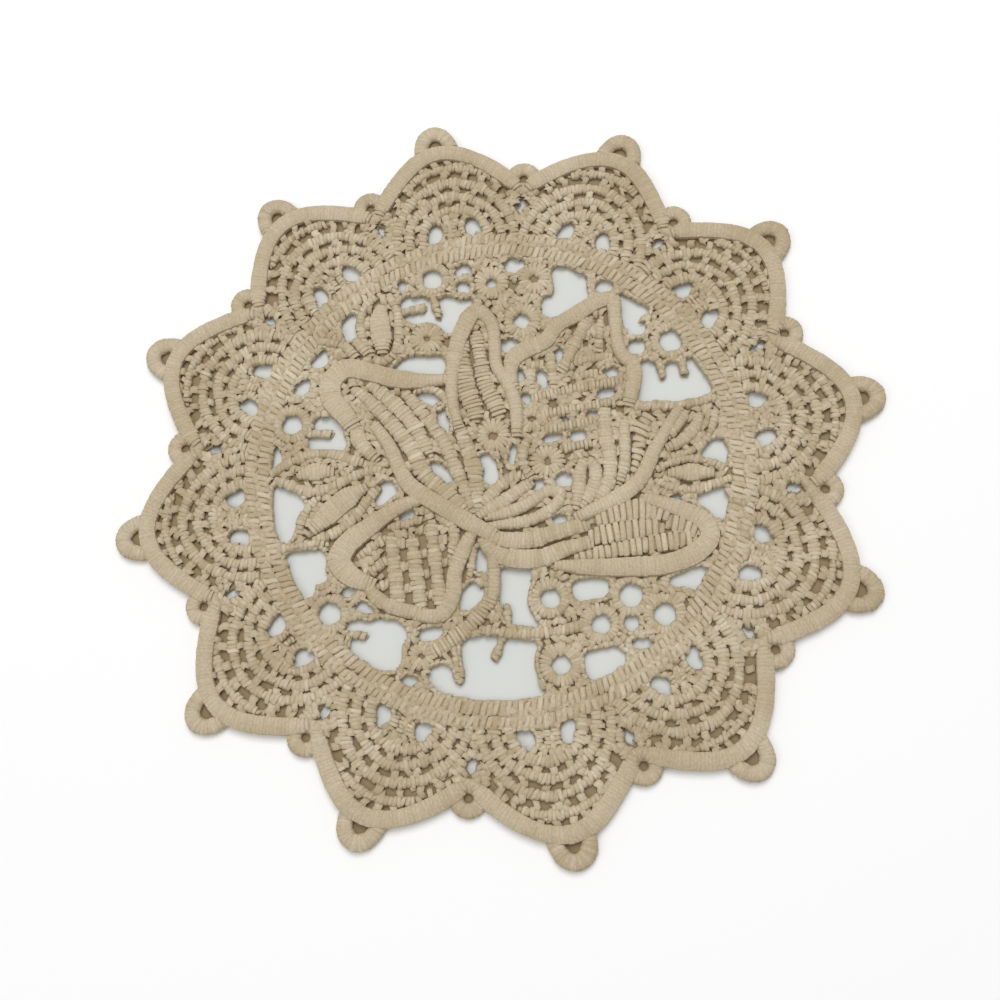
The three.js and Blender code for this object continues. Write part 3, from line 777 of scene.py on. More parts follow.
@dataclass(frozen=True)
class ThreadFinish:
    """The coaster's thread: beige, softly shining, a little uneven from stitch to stitch, with painted
    shade between stitches and in the crevices, and painted glints.

    Attributes:
        name: the material's name.
        plain: the thread's usual colour.
        pale: the colour of the palest stitches, and of the highlights painted along them.
        seam_shade: the painted shade of the core that shows between two stitches, and of the thread's
            sides.
        crevice_shade: the painted shade down in the crevices and on the low ground.
        sheen: the tint of the thread's sheen.
        crevices: the heights between which the painted crevice shade gives way to the thread's colour.
        underside: the heights between which the painted shade gives way again, towards the back.
        twist_length: the length of thread in which it twists once.
        patch_scale: how many pale patches lie along a metre, about.
        fibre_scale: how many fibres do.
        glint_scale: how many painted glints lie along a millimetre of thread, about.
        noise_detail: the noise's detail in patches and glints.
        fibre_detail: the noise's detail in fibres.
        shade_pale: how much a stitch's own shade adds to how pale it is.
        patch_pale: how much the patches add.
        fibre_pale: how much the fibres add.
        glint_pale: how much the painted glints add.
        pale_from: the sum of these from which a stitch is paler than usual.
        side_turn: how far aside on the thread, squared, its painted side shade begins and is strongest.
        side_shade: how dark that painted shade is.
        ply_relief: how much the twist stands out.
        fibre_relief: how much the fibres do.
        side_relief: how much the thread falls off to its sides.
        bump_strength: how strong all this relief is.
        bump_depth: how deep it is, in millimetres.
        rough: how rough the thread is.
        fibre_rough: how much rougher the fibres make it.
        specular: how strongly it reflects.
        sheen_weight: how strong its sheen is.
        sheen_rough: how rough the sheen is.
    """

    name: str = "beige_thread"
    plain: Colour = (0.432, 0.343, 0.216, 1)
    pale: Colour = (0.68, 0.60, 0.46, 1)
    seam_shade: Colour = (0.36, 0.27, 0.15, 1)
    crevice_shade: Colour = (0.27, 0.198, 0.105, 1)
    sheen: Colour = (0.95, 0.88, 0.72, 1)
    crevices: Pair = (0.45, 0.78)
    underside: Pair = (0.22, 0.36)
    twist_length: float = 0.55
    patch_scale: float = 90.0
    fibre_scale: float = 3500.0
    glint_scale: float = 2.2
    noise_detail: float = 2.0
    fibre_detail: float = 3.0
    shade_pale: float = 0.15
    patch_pale: float = 1.2
    fibre_pale: float = 0.4
    glint_pale: float = 1.1
    pale_from: float = 1.05
    side_turn: Pair = (0.08, 0.7)
    side_shade: float = 0.45
    ply_relief: float = 0.2
    fibre_relief: float = 0.3
    side_relief: float = 0.5
    bump_strength: float = 0.5
    bump_depth: float = 0.1
    rough: float = 0.62
    fibre_rough: float = 0.2
    specular: float = 0.35
    sheen_weight: float = 0.25
    sheen_rough: float = 0.4

    def material(self) -> bpy.types.Material:
        """The thread's material, made once.

        Returns:
            The material.
        """
        known = bpy.data.materials.get(self.name)
        if known is not None:
            return known
        material = bpy.data.materials.new(self.name)
        board = Board(material)
        place = board.node("ShaderNodeTexCoord", {}, {}, "Object")
        shade = board.node("ShaderNodeAttribute", {"attribute_name": "shade"}, {}, "Fac")
        twist = board.node("ShaderNodeAttribute", {"attribute_name": "twist"}, {}, "Vector")
        side = board.node("ShaderNodeSeparateXYZ", {}, {"Vector": twist})
        face, along = side.other("Y"), side.other("Z")
        turn = along * (2 * np.pi / self.twist_length)
        ply = turn.sine() * side + turn.cosine() * face
        patches = board.noise(place, self.patch_scale, self.noise_detail)
        fibres = board.noise(place, self.fibre_scale, self.fibre_detail)
        glints = board.noise(twist, self.glint_scale, self.noise_detail)
        high = board.node("ShaderNodeSeparateXYZ", {}, {"Vector": place}, "Z")
        low, top = self.underside
        foot, clear = self.crevices
        depth = high.held(foot * MM, clear * MM) + (1 - high.held(low * MM, top * MM))
        # Paler stitches and patches are the thread's own tone, differing at random; the glints along each
        # stitch are painted highlights.
        pale = shade * self.shade_pale + patches * self.patch_pale + fibres * self.fibre_pale
        pale = (pale + glints * self.glint_pale - self.pale_from).held(0.0, 1.0)
        colour = board.mixed(pale, self.plain, self.pale)
        # Painted shade: the thread darkens towards its sides, where it meets the next stitch, and cores and
        # grounds take the seam shade.
        sides = (side * side).held(*self.side_turn)
        colour = board.mixed(sides * self.side_shade, colour, self.seam_shade)
        colour = board.mixed(shade.held(CORE_SHADE + 1, CORE_SHADE + 3), self.seam_shade, colour)
        # Painted shade: what lies low, in the crevices and on the ground, takes the crevice shade by its
        # height above the table; only the back keeps the thread's colour.
        colour = board.mixed(depth, self.crevice_shade, colour)
        relief = ply * self.ply_relief + fibres * self.fibre_relief - side * side * self.side_relief
        values = {"Strength": self.bump_strength, "Distance": self.bump_depth * MM, "Height": relief}
        bump = board.node("ShaderNodeBump", {}, values)
        surface = board.node(
            "ShaderNodeBsdfPrincipled",
            {},
            {
                "Base Color": colour,
                "Roughness": self.rough + fibres * self.fibre_rough,
                "Normal": bump,
                "Specular IOR Level": self.specular,
                "Sheen Weight": self.sheen_weight,
                "Sheen Roughness": self.sheen_rough,
                "Sheen Tint": self.sheen,
            },
        )
        board.finish(surface)
        return material


# One scallop, with its tip on +X: u is the way out from the middle of the coaster, v across it. A half
# line is one side of a line that is the same on both sides of u.

# The padded edge: its stitching, its widths and its half line.
EDGE = (
    Stitch.PADDED,
    (0.9, *[2.5] * 11, 0.9),
    ((50.2, 0), (49.5, 3), (47.7, 5.7), (44.9, 8.5), (42.7, 10.2), (41.2, 10.9)),
)
# The half line of the ground under a scallop.
GROUND_HALF = (
    (50.2, 0), (47.7, 5.7), (44.9, 8.5), (42.6, 10.4), (41.8, 11.15), (40.6, 10.85), (40.05, 10.1),
    (39.1, 9.8), (38.1, 10.15), (33.4, 8.9),
)
# The arches inside the edge, from the outermost in: stitching, width and half line.
ARCHES = (
    (Stitch.BAND, 1.3, ((47.6, 0), (47.1, 2.8), (46, 5.6))),
    (Stitch.BAND, 1.6, ((45.2, 0), (43.3, 5.2), (41.3, 6.9), (39, 8.2), (36.6, 8.7), (34, 8.8))),
    (Stitch.BAND, 1.6, ((43, 0), (40.5, 5.1), (38.6, 6.4), (36.4, 6.8), (34.3, 6.9))),
    (Stitch.BAND, 1.6, ((40.7, 0), (39.4, 3.6), (37.2, 4.7), (34.7, 5))),
)
# The rows of the block between the two ovals, each from end to end.
BLOCK_ROWS = (((36, -1.1), (39.2, -1.2)), ((36, 0), (39.6, 0)), ((36, 1.1), (39.2, 1.2)))
# The picot at the tip: its stitching, its widths and its line.
TIP_PICOT = (
    Stitch.LOOP,
    (2.2, 2.2, 2.3, 2.2, 2.2),
    ((49.6, -2.3), (51.6, -2.15), (53.15, -1.4), (53.8, 0), (53.15, 1.4), (51.6, 2.15), (49.6, 2.3)),
)
# The half lines of the grounds under the picots, at the tip and in the valley.
PICOT_GROUND = ((53, 0), (52.4, 1.5), (50, 2), (48.6, 2))
VALLEY_GROUND = ((46.4, 0), (45.4, 1), (43, 0.9))
# The slots between the arches: radius about the arches' middle, half length, half width, and where
# they are on one side, in degrees.
SLOTS = (
    (12.2, 0.7, 0.4, (0, 10, 20)),
    (9.95, 0.95, 0.55, (10, 26, 41, 56.5)),
    (7.65, 0.95, 0.55, (0, 22, 44, 65, 84, 100)),
    (5.5, 0.9, 0.5, (12, 35, 57, 79, 98)),
)
# How far each scallop's tip leans along the rim, as in soft lace, from the one on +X round.
TIP_LEAN = (0.2, 0.3, -0.7, 0.5, -0.2, -0.2, 0.2, 0.2, -0.6, 0.8, -0.3, -0.3)

# The petals, leaves and stalks inside the ring. Each row is one cord.
WING_PETAL = (
    (Stitch.PADDED, (1.4, 2.0, 2.8, 2.9, 2.9, 3.2, 3.3, 3.0, 2.4),
     ((-3.9, 14.3), (-8.4, 14.9), (-12.4, 16.1), (-15.6, 17.7), (-19, 18.9), (-21.3, 17.3), (-21.6, 14.8),
      (-20.1, 12), (-18.9, 9.4))),
    (Stitch.SATIN, (2.2, 2.3, 1.5), ((-18.6, 10.4), (-18.7, 8), (-17.5, 5.8), (-16.4, 4.4))),
    (Stitch.PADDED, (1.6, 2, 2.2, 2.6, 2.6, 2.5, 2),
     ((-16.4, 10.2), (-14.6, 6.4), (-13.6, 2.6), (-12.6, 0), (-8.4, -4.2), (-4.6, -7.5), (-1.4, -10))),
    (Stitch.CORD, (1.6, 2.1, 2.4, 2.6, 2.4, 2.5, 1.8),
     ((-18.6, 16), (-16.5, 13.7), (-13.9, 9.8), (-11.4, 5), (-10.3, 1.2), (-7.9, -1.9), (-5, -5.9))),
    (Stitch.CORD, (1.6, 2.4, 2.5, 2.3, 1.5),
     ((-16.4, 16.6), (-13.4, 13), (-10.9, 9.2), (-9.6, 5.6), (-8.9, 3.4))),
    (Stitch.CORD, (1.6, 2, 2, 2.3, 2.1, 1.9, 1.3),
     ((-11.4, 14.2), (-9.6, 11), (-8.1, 8.2), (-6.7, 5), (-5.9, 1.6), (-5.1, -2), (-4.3, -6.2))),
    (Stitch.CORD, (1.3, 1.4, 1.3, 1), ((-9.8, 13.9), (-7.2, 13.5), (-5.4, 11.4), (-5.1, 8.4), (-5, 6.6))),
    (Stitch.CORD, (1.8, 2.3, 2.5, 2.2, 1.3),
     ((-4.3, 7.4), (-3.8, 4), (-3.3, 0.6), (-3.5, -2.6), (-3.7, -6.3))),
)
TALL_PETAL = (
    (Stitch.PADDED, (1.5, 1.7, 2, 2.4, 2.7, 2.2, 1.9, 1.8, 2, 2, 1.6),
     ((-4.3, 6.4), (-4.6, 11), (-3.7, 16), (-1.4, 21.4), (1.2, 23.9), (2.9, 21.6), (2.7, 17.6), (2.5, 15),
      (3.6, 12), (4.1, 8.4), (3.4, 3.6))),
    (Stitch.RIB, (1, 2.3, 2.9, 3, 2.6), ((-1.2, 20.4), (-2.2, 16.5), (-2.4, 13), (-1.8, 9.5), (-1.7, 7.2))),
    (Stitch.RIB, (1.9, 2.3, 2.5, 2.7, 2.5), ((0.5, 21), (0.4, 16.5), (0.5, 12.5), (1.4, 9), (1.7, 7.2))),
)
LONG_PETAL = (
    (Stitch.SATIN, (1.6, 2.3, 2.7, 2.3, 2.3),
     ((-4.6, -7.8), (-2, -9.8), (2, -10.9), (6, -10.6), (11, -10.2))),
    (Stitch.SATIN, (1.4, 2.5, 3, 2.7, 2.3, 2.1),
     ((-4.2, -9), (-2.6, -11.8), (0.6, -13.3), (4, -13.7), (7, -13.1), (11, -12.8))),
    (Stitch.PADDED, (1.6, 2.2, 2.6, 2.8, 3, 2.9, 2.9, 2.6, 2.2, 1.3),
     ((18.6, -7.9), (21.4, -9.4), (24.2, -11), (26.4, -13), (26.7, -15.2), (24.4, -17), (20, -17.8),
      (15, -17.2), (10, -16.3), (4.8, -15))),
    (Stitch.RIDGE, (2.4, 3.7, 3.5, 2.4), ((11, -9.7), (16, -9.4), (20, -9.9), (23, -11.2))),
    (Stitch.RIDGE, (2.7, 3.1, 3.1), ((10.4, -12.1), (16, -12.2), (21, -12.5))),
    (Stitch.RIDGE, (1.9, 2.7, 2.6), ((8, -14.6), (15, -14.6), (25.2, -14.9))),
    (Stitch.RIDGE, (2.4, 3.4, 2.8), ((21.2, -11.9), (23.6, -12.8), (26.2, -14))),
)
FAN = (
    (Stitch.CORD, (1.5, 2, 2, 1.6), ((-3.8, -5.6), (-1.6, -3.6), (1.2, -1.8), (3.6, -1.4))),
    (Stitch.SATIN, (1.3, 2, 2, 1.6), ((-4.4, -6.4), (-1, -5.2), (2, -3.9), (4.4, -2.8))),
    (Stitch.SATIN, (1, 1.8, 1.9, 1.7, 1.8, 1.8, 1.8, 1.6, 1),
     ((-3.6, -6.6), (-0.4, -6.6), (3, -5.9), (6.4, -4.6), (8, -5.4), (6.6, -7), (3, -8.2), (-0.6, -8.1),
      (-3.6, -7.9))),
    (Stitch.SATIN, (1.6, 2, 2, 1.1), ((12.4, -0.9), (11.2, -2.6), (10.6, -5), (9.4, -8.4))),
    (Stitch.SATIN, (1.6, 2, 2.1, 1.1), ((12.7, -0.9), (13.3, -2.9), (12.5, -5.4), (10, -8.2))),
    (Stitch.CORD, (1.5, 1.6, 1.4), ((5.8, 4.2), (3.9, 1.8), (3.7, -0.6), (4.8, -2.4))),
)
NET_LEAF = (
    (Stitch.PADDED, (1.5, 1.9, 2.7, 2.7, 2.4, 2.4, 2.6, 2.4, 2.2, 2, 1.9, 2, 2.3, 2.2, 1.8),
     ((4.6, 10.4), (4.2, 13.1), (5.2, 15.7), (7.6, 16.7), (10, 17.3), (12, 19.2), (15, 20.4), (18.4, 21.7),
      (20.6, 21.7), (20.5, 19), (20.1, 15.6), (20.3, 13.2), (21.5, 11.2), (21, 8.6), (19.5, 4.9))),
    (Stitch.SATIN, (1.7, 2.1), ((11, 11.8), (17, 20))),
    (Stitch.CORD, (1.7, 1.6), ((10, 9.4), (10.3, 16))),
    (Stitch.CORD, (1.3, 1.3), ((6.6, 14.1), (9.8, 14))),
    (Stitch.CORD, (1.3, 1.3), ((7, 10.2), (6.8, 14.1))),
    (Stitch.CORD, (1.6, 1.5), ((12.8, 13.5), (19.6, 13.3))),
    (Stitch.CORD, (1.5, 1.3), ((16.9, 13.6), (18.6, 19.6))),
    (Stitch.CORD, (1.3, 1.4), ((12.6, 11.4), (17, 11))),
    (Stitch.RIB, (1.5, 1.7, 1.6), ((6.4, 9.2), (13, 9.4), (20.2, 9.3))),
    (Stitch.RIB, (1.5, 1.6, 1.6), ((6.8, 6.6), (12, 6.5), (18.6, 6.5))),
    (Stitch.RIB, (1.4, 1.6, 1.5), ((6.4, 4.2), (10, 4.2), (15.4, 4.1))),
    (Stitch.RIB, (1.5, 1.5), ((9, 1.1), (14.2, 1.1))),
)
VEINED_LEAF = (
    (Stitch.CORD, (1.5, 1.4, 1.4), ((19.4, 5.6), (25.6, 4.2), (33, 4.2))),
    (Stitch.PADDED, (1.4, 2.1, 2.4, 1.7), ((27, 4.2), (22.2, -1.3), (18.4, -6), (8.8, -9.4))),
    (Stitch.SATIN, (1.8, 2.2, 2.1, 2.1, 1.6),
     ((16.4, 6.2), (15.7, 2), (15.6, -1.4), (14.9, -4.6), (12.4, -8))),
    (Stitch.SATIN, (1.6, 1.8, 1.7, 1.3), ((18.8, 4), (18.1, 0.4), (17.5, -2.6), (16.2, -5.6))),
    (Stitch.RIDGE, (2.6, 2.3, 1.7, 1.2), ((22.3, 3.7), (20.6, 1.3), (19.6, -1.6), (18, -5.2))),
)
BROAD_LEAF = (
    (Stitch.PADDED, (1.6, 2.1, 2.5, 3.1, 3.5, 3, 1.8),
     ((-10.4, -2.2), (-14.6, -2.9), (-18.8, -4.8), (-22.6, -6.9), (-23.9, -9), (-22.4, -11.5),
      (-19.2, -13.4))),
    (Stitch.SATIN, (1.6, 2.1, 2.1, 1.8), ((-20.9, -11.8), (-19.6, -14.9), (-16.8, -17), (-13, -18.5))),
    (Stitch.PADDED, (1.7, 2.2, 2.3, 2.2, 2.2, 1.6),
     ((-15.2, -18.1), (-11.2, -18.9), (-9.2, -16.6), (-8.4, -13.6), (-6.4, -10.2), (-4.8, -8))),
    (Stitch.SATIN, (0.9, 1.2, 0.9), ((-6.9, -15.2), (-6, -13), (-5.2, -10.4))),
    (Stitch.CORD, (1.2, 1.5, 1.2), ((-16.6, -5.5), (-13.8, -5.4), (-11, -5.1))),
    (Stitch.CORD, (1.9, 2.2, 1.9), ((-16.3, -6.2), (-16.5, -11), (-16.8, -17.3))),
    (Stitch.CORD, (1.9, 2.2, 1.9), ((-13.5, -7), (-13.6, -11), (-13.8, -18.6))),
    (Stitch.CORD, (1.8, 2.1, 1.9), ((-10.5, -5.4), (-10.8, -11), (-11, -18.8))),
    (Stitch.CORD, (1.7, 1.7), ((-16.1, -8), (-14, -8))),
    (Stitch.CORD, (1.4, 1.4), ((-16.1, -11.3), (-14, -11.3))),
    (Stitch.CORD, (1.4, 1.4), ((-16.1, -14.4), (-14, -14.4))),
    (Stitch.CORD, (1.5, 1.5), ((-13, -6.7), (-11, -6.6))),
    (Stitch.CORD, (1.4, 1.4), ((-13.1, -10), (-11.1, -10))),
    (Stitch.CORD, (1.3, 1.3), ((-13.1, -12.9), (-11.1, -12.9))),
    (Stitch.CORD, (1.4, 1.4), ((-13.1, -15.8), (-11.1, -15.8))),
    (Stitch.CORD, (1.4, 1.4), ((-10.4, -8.6), (-8.2, -8.6))),
    (Stitch.CORD, (1.4, 1.4), ((-10.4, -11.8), (-8.4, -11.8))),
    (Stitch.CORD, (1.5, 1.6), ((-21.4, -8.9), (-17, -6.7))),
    (Stitch.CORD, (1.5, 1.6), ((-20.4, -11.6), (-17, -9.6))),
    (Stitch.CORD, (1.5, 1.6), ((-19.4, -13.6), (-17, -13))),
    (Stitch.CORD, (1.5, 1.7, 1.5), ((-9.6, -4.6), (-7.6, -7.4), (-8.6, -11.4))),
)
SMALL_LEAVES = (
    (Stitch.PADDED, (1.2, 2.8, 1.2), ((-28.2, 4.5), (-25.2, 4.45), (-22.4, 4))),
    (Stitch.CORD, (1.3, 1.6, 1.6, 1.6, 1.6, 1.5),
     ((-32.4, 5.2), (-29.4, 6.4), (-26, 7.2), (-22.6, 6.6), (-20, 5.2), (-18, 4.4))),
    (Stitch.CORD, (1.3, 1.6, 1.7, 1.6, 1.6, 1.5, 1.4),
     ((-31.6, 4.6), (-29.4, 3.4), (-27, 1.9), (-24, 1.8), (-20.6, 2.7), (-17.2, 3.2), (-15.2, 2.2))),
    (Stitch.PADDED, (1.2, 3.4, 3.3, 1), ((-27.4, -4.2), (-24.6, -2.1), (-21.4, -0.2), (-18.2, 1.2))),
    (Stitch.CORD, (1.5, 1.7, 1.7, 1.6),
     ((-27.2, -5.2), (-23.8, -4.7), (-20.8, -3), (-18.8, -1), (-17, 0.8))),
    (Stitch.CORD, (1.3, 1.4, 1.3), ((-28.9, -4.6), (-28.5, -2.4), (-26.8, -0.2), (-24.8, 1.2))),
    (Stitch.PADDED, (1.2, 3, 3.2, 1.2), ((-12.2, 28), (-13, 25.4), (-13.1, 22.6), (-13.4, 19.8))),
    (Stitch.CORD, (1.2, 1.4, 1.5, 1.4, 1.2),
     ((-12.6, 29.6), (-14.8, 28), (-15.9, 25.4), (-15.7, 22.6), (-14.6, 20.2))),
    (Stitch.CORD, (1.3, 1.4, 1.5, 1.4, 1.2),
     ((-11.4, 29.4), (-10.4, 27), (-10.4, 24), (-10.9, 21.4), (-12.4, 19))),
    (Stitch.SATIN, (1.6, 1.7, 1.5), ((-17.2, 23.4), (-16.2, 21.8), (-15.2, 20.2))),
    (Stitch.SATIN, (1.4, 1.6, 1.4), ((-19, 23.2), (-18, 21.6), (-17, 20))),
    (Stitch.CORD, (1.4, 1.4), ((-22.8, 24.4), (-20.5, 23.4), (-18.4, 22.6))),
    (Stitch.SATIN, (1.2, 1.7, 1.3), ((27.8, 3.4), (25.6, 1.1), (23.6, -0.4))),
    (Stitch.SATIN, (1.3, 1.9, 1.8, 1.1), ((29.2, 2.6), (28.2, 0.6), (26, -1), (23, -1.9))),
    (Stitch.CORD, (1.3, 1.3), ((31.6, 3), (30.6, 0.4), (28.8, -1.9), (26, -2.9), (22.8, -3.2))),
    (Stitch.CORD, (1.2, 1.2), ((21, -4.6), (23.6, -3.9), (26.4, -3.8), (29, -4.8), (31.2, -6.4))),
    (Stitch.PADDED, (0.9, 2.7, 1), ((22.6, -5.2), (26, -5.8), (29.6, -6.5))),
    (Stitch.CORD, (1.4, 1.5, 1.5, 1.4), ((21, -5.8), (23.2, -7.4), (26, -8.2), (29, -8), (32, -7.4))),
)
STALKS = (
    (Stitch.SATIN, (1.5, 1.7, 1.8, 1.9, 1.9),
     ((-2.9, -10.8), (-3, -13.2), (-3.3, -15.8), (-4, -18), (-4.9, -19.4))),
    (Stitch.RIB, (1.6, 2.2, 2.4, 2.5, 2.4, 1.8),
     ((-4.4, -17.2), (-5.5, -19.3), (-8.2, -21.4), (-11.4, -23), (-13.8, -24))),
    (Stitch.CORD, (1.3, 1.5, 1.6, 1.6), ((-6.6, -21.8), (-3, -22.9), (1, -23.8), (4.6, -24), (8, -23.8))),
    (Stitch.RIDGE, (1.4, 1.7, 1.4), ((4.2, -15.9), (5.9, -16.6), (6.7, -18.4))),
    (Stitch.CORD, (1.3, 1.3), ((-33.4, -5.6), (-25, -5.8))),
)
# The pieces that these tables make, in the order in which they are wound.
LEAVES = {
    "wing_petal": WING_PETAL,
    "tall_petal": TALL_PETAL,
    "long_petal": LONG_PETAL,
    "fan": FAN,
    "net_leaf": NET_LEAF,
    "veined_leaf": VEINED_LEAF,
    "broad_leaf": BROAD_LEAF,
    "small_leaves": SMALL_LEAVES,
    "stalks": STALKS,
}
# Round eyelets, and those by the middle of the flower.
EYELETS = (
    ((-4.4, 30.3), 2.1, 1.4),
    ((4, 28), 1.7, 2),
    ((10.3, 27.3), 1.6, 2),
    ((7.3, 21.2), 2, 1.7),
    ((-6.7, 21.2), 1.5, 2.1),
    ((27.5, 13.9), 2.25, 1.4),
    ((-27.9, 12.2), 2.2, 1.5),
    ((-26.3, -15.9), 2.2, 1.4),
    ((3.8, -19.4), 2.1, 1.7),
    ((9.8, -24.1), 2.05, 1.5),
    ((3.6, -28.5), 2.2, 1.9),
    ((18.5, -24.4), 2.25, 1.4),
    ((14.6, -21.1), 2.2, 1.2),
    ((-14.8, -24), 1.2, 1.6),
)
FLOWER_EYELETS = (((0.2, 4.9), 1.6, 1.9), ((7, -0.3), 1.5, 2.1), ((6, 6.2), 1.2, 1.5))
# Bars, from end to end; the second end may lie free in a gap.
BARS = (
    ((-10.6, 26), (-6.2, 26.3)),
    ((-4.9, 28.6), (-4.4, 24.2)),
    ((-26.6, 10.6), (-22.4, 9.8)),
    ((-10.3, -22.6), (-10.3, -28.4)),
    ((-3.5, -23.2), (-5.1, -26.2)),
    ((-2.4, -22.8), (-2.3, -19.2)),
    ((-25, -18.9), (-21.8, -19.8)),
    ((25.3, 11.6), (25.3, 8.7)),
    ((28.3, 11.4), (28.5, 8.5)),
    ((26.4, 18), (24, 17.9)),
    ((16.9, -19), (17.2, -22.6)),
    ((12.6, -18), (12.2, -21)),
    ((11.6, -25.6), (13.2, -27.4)),
)
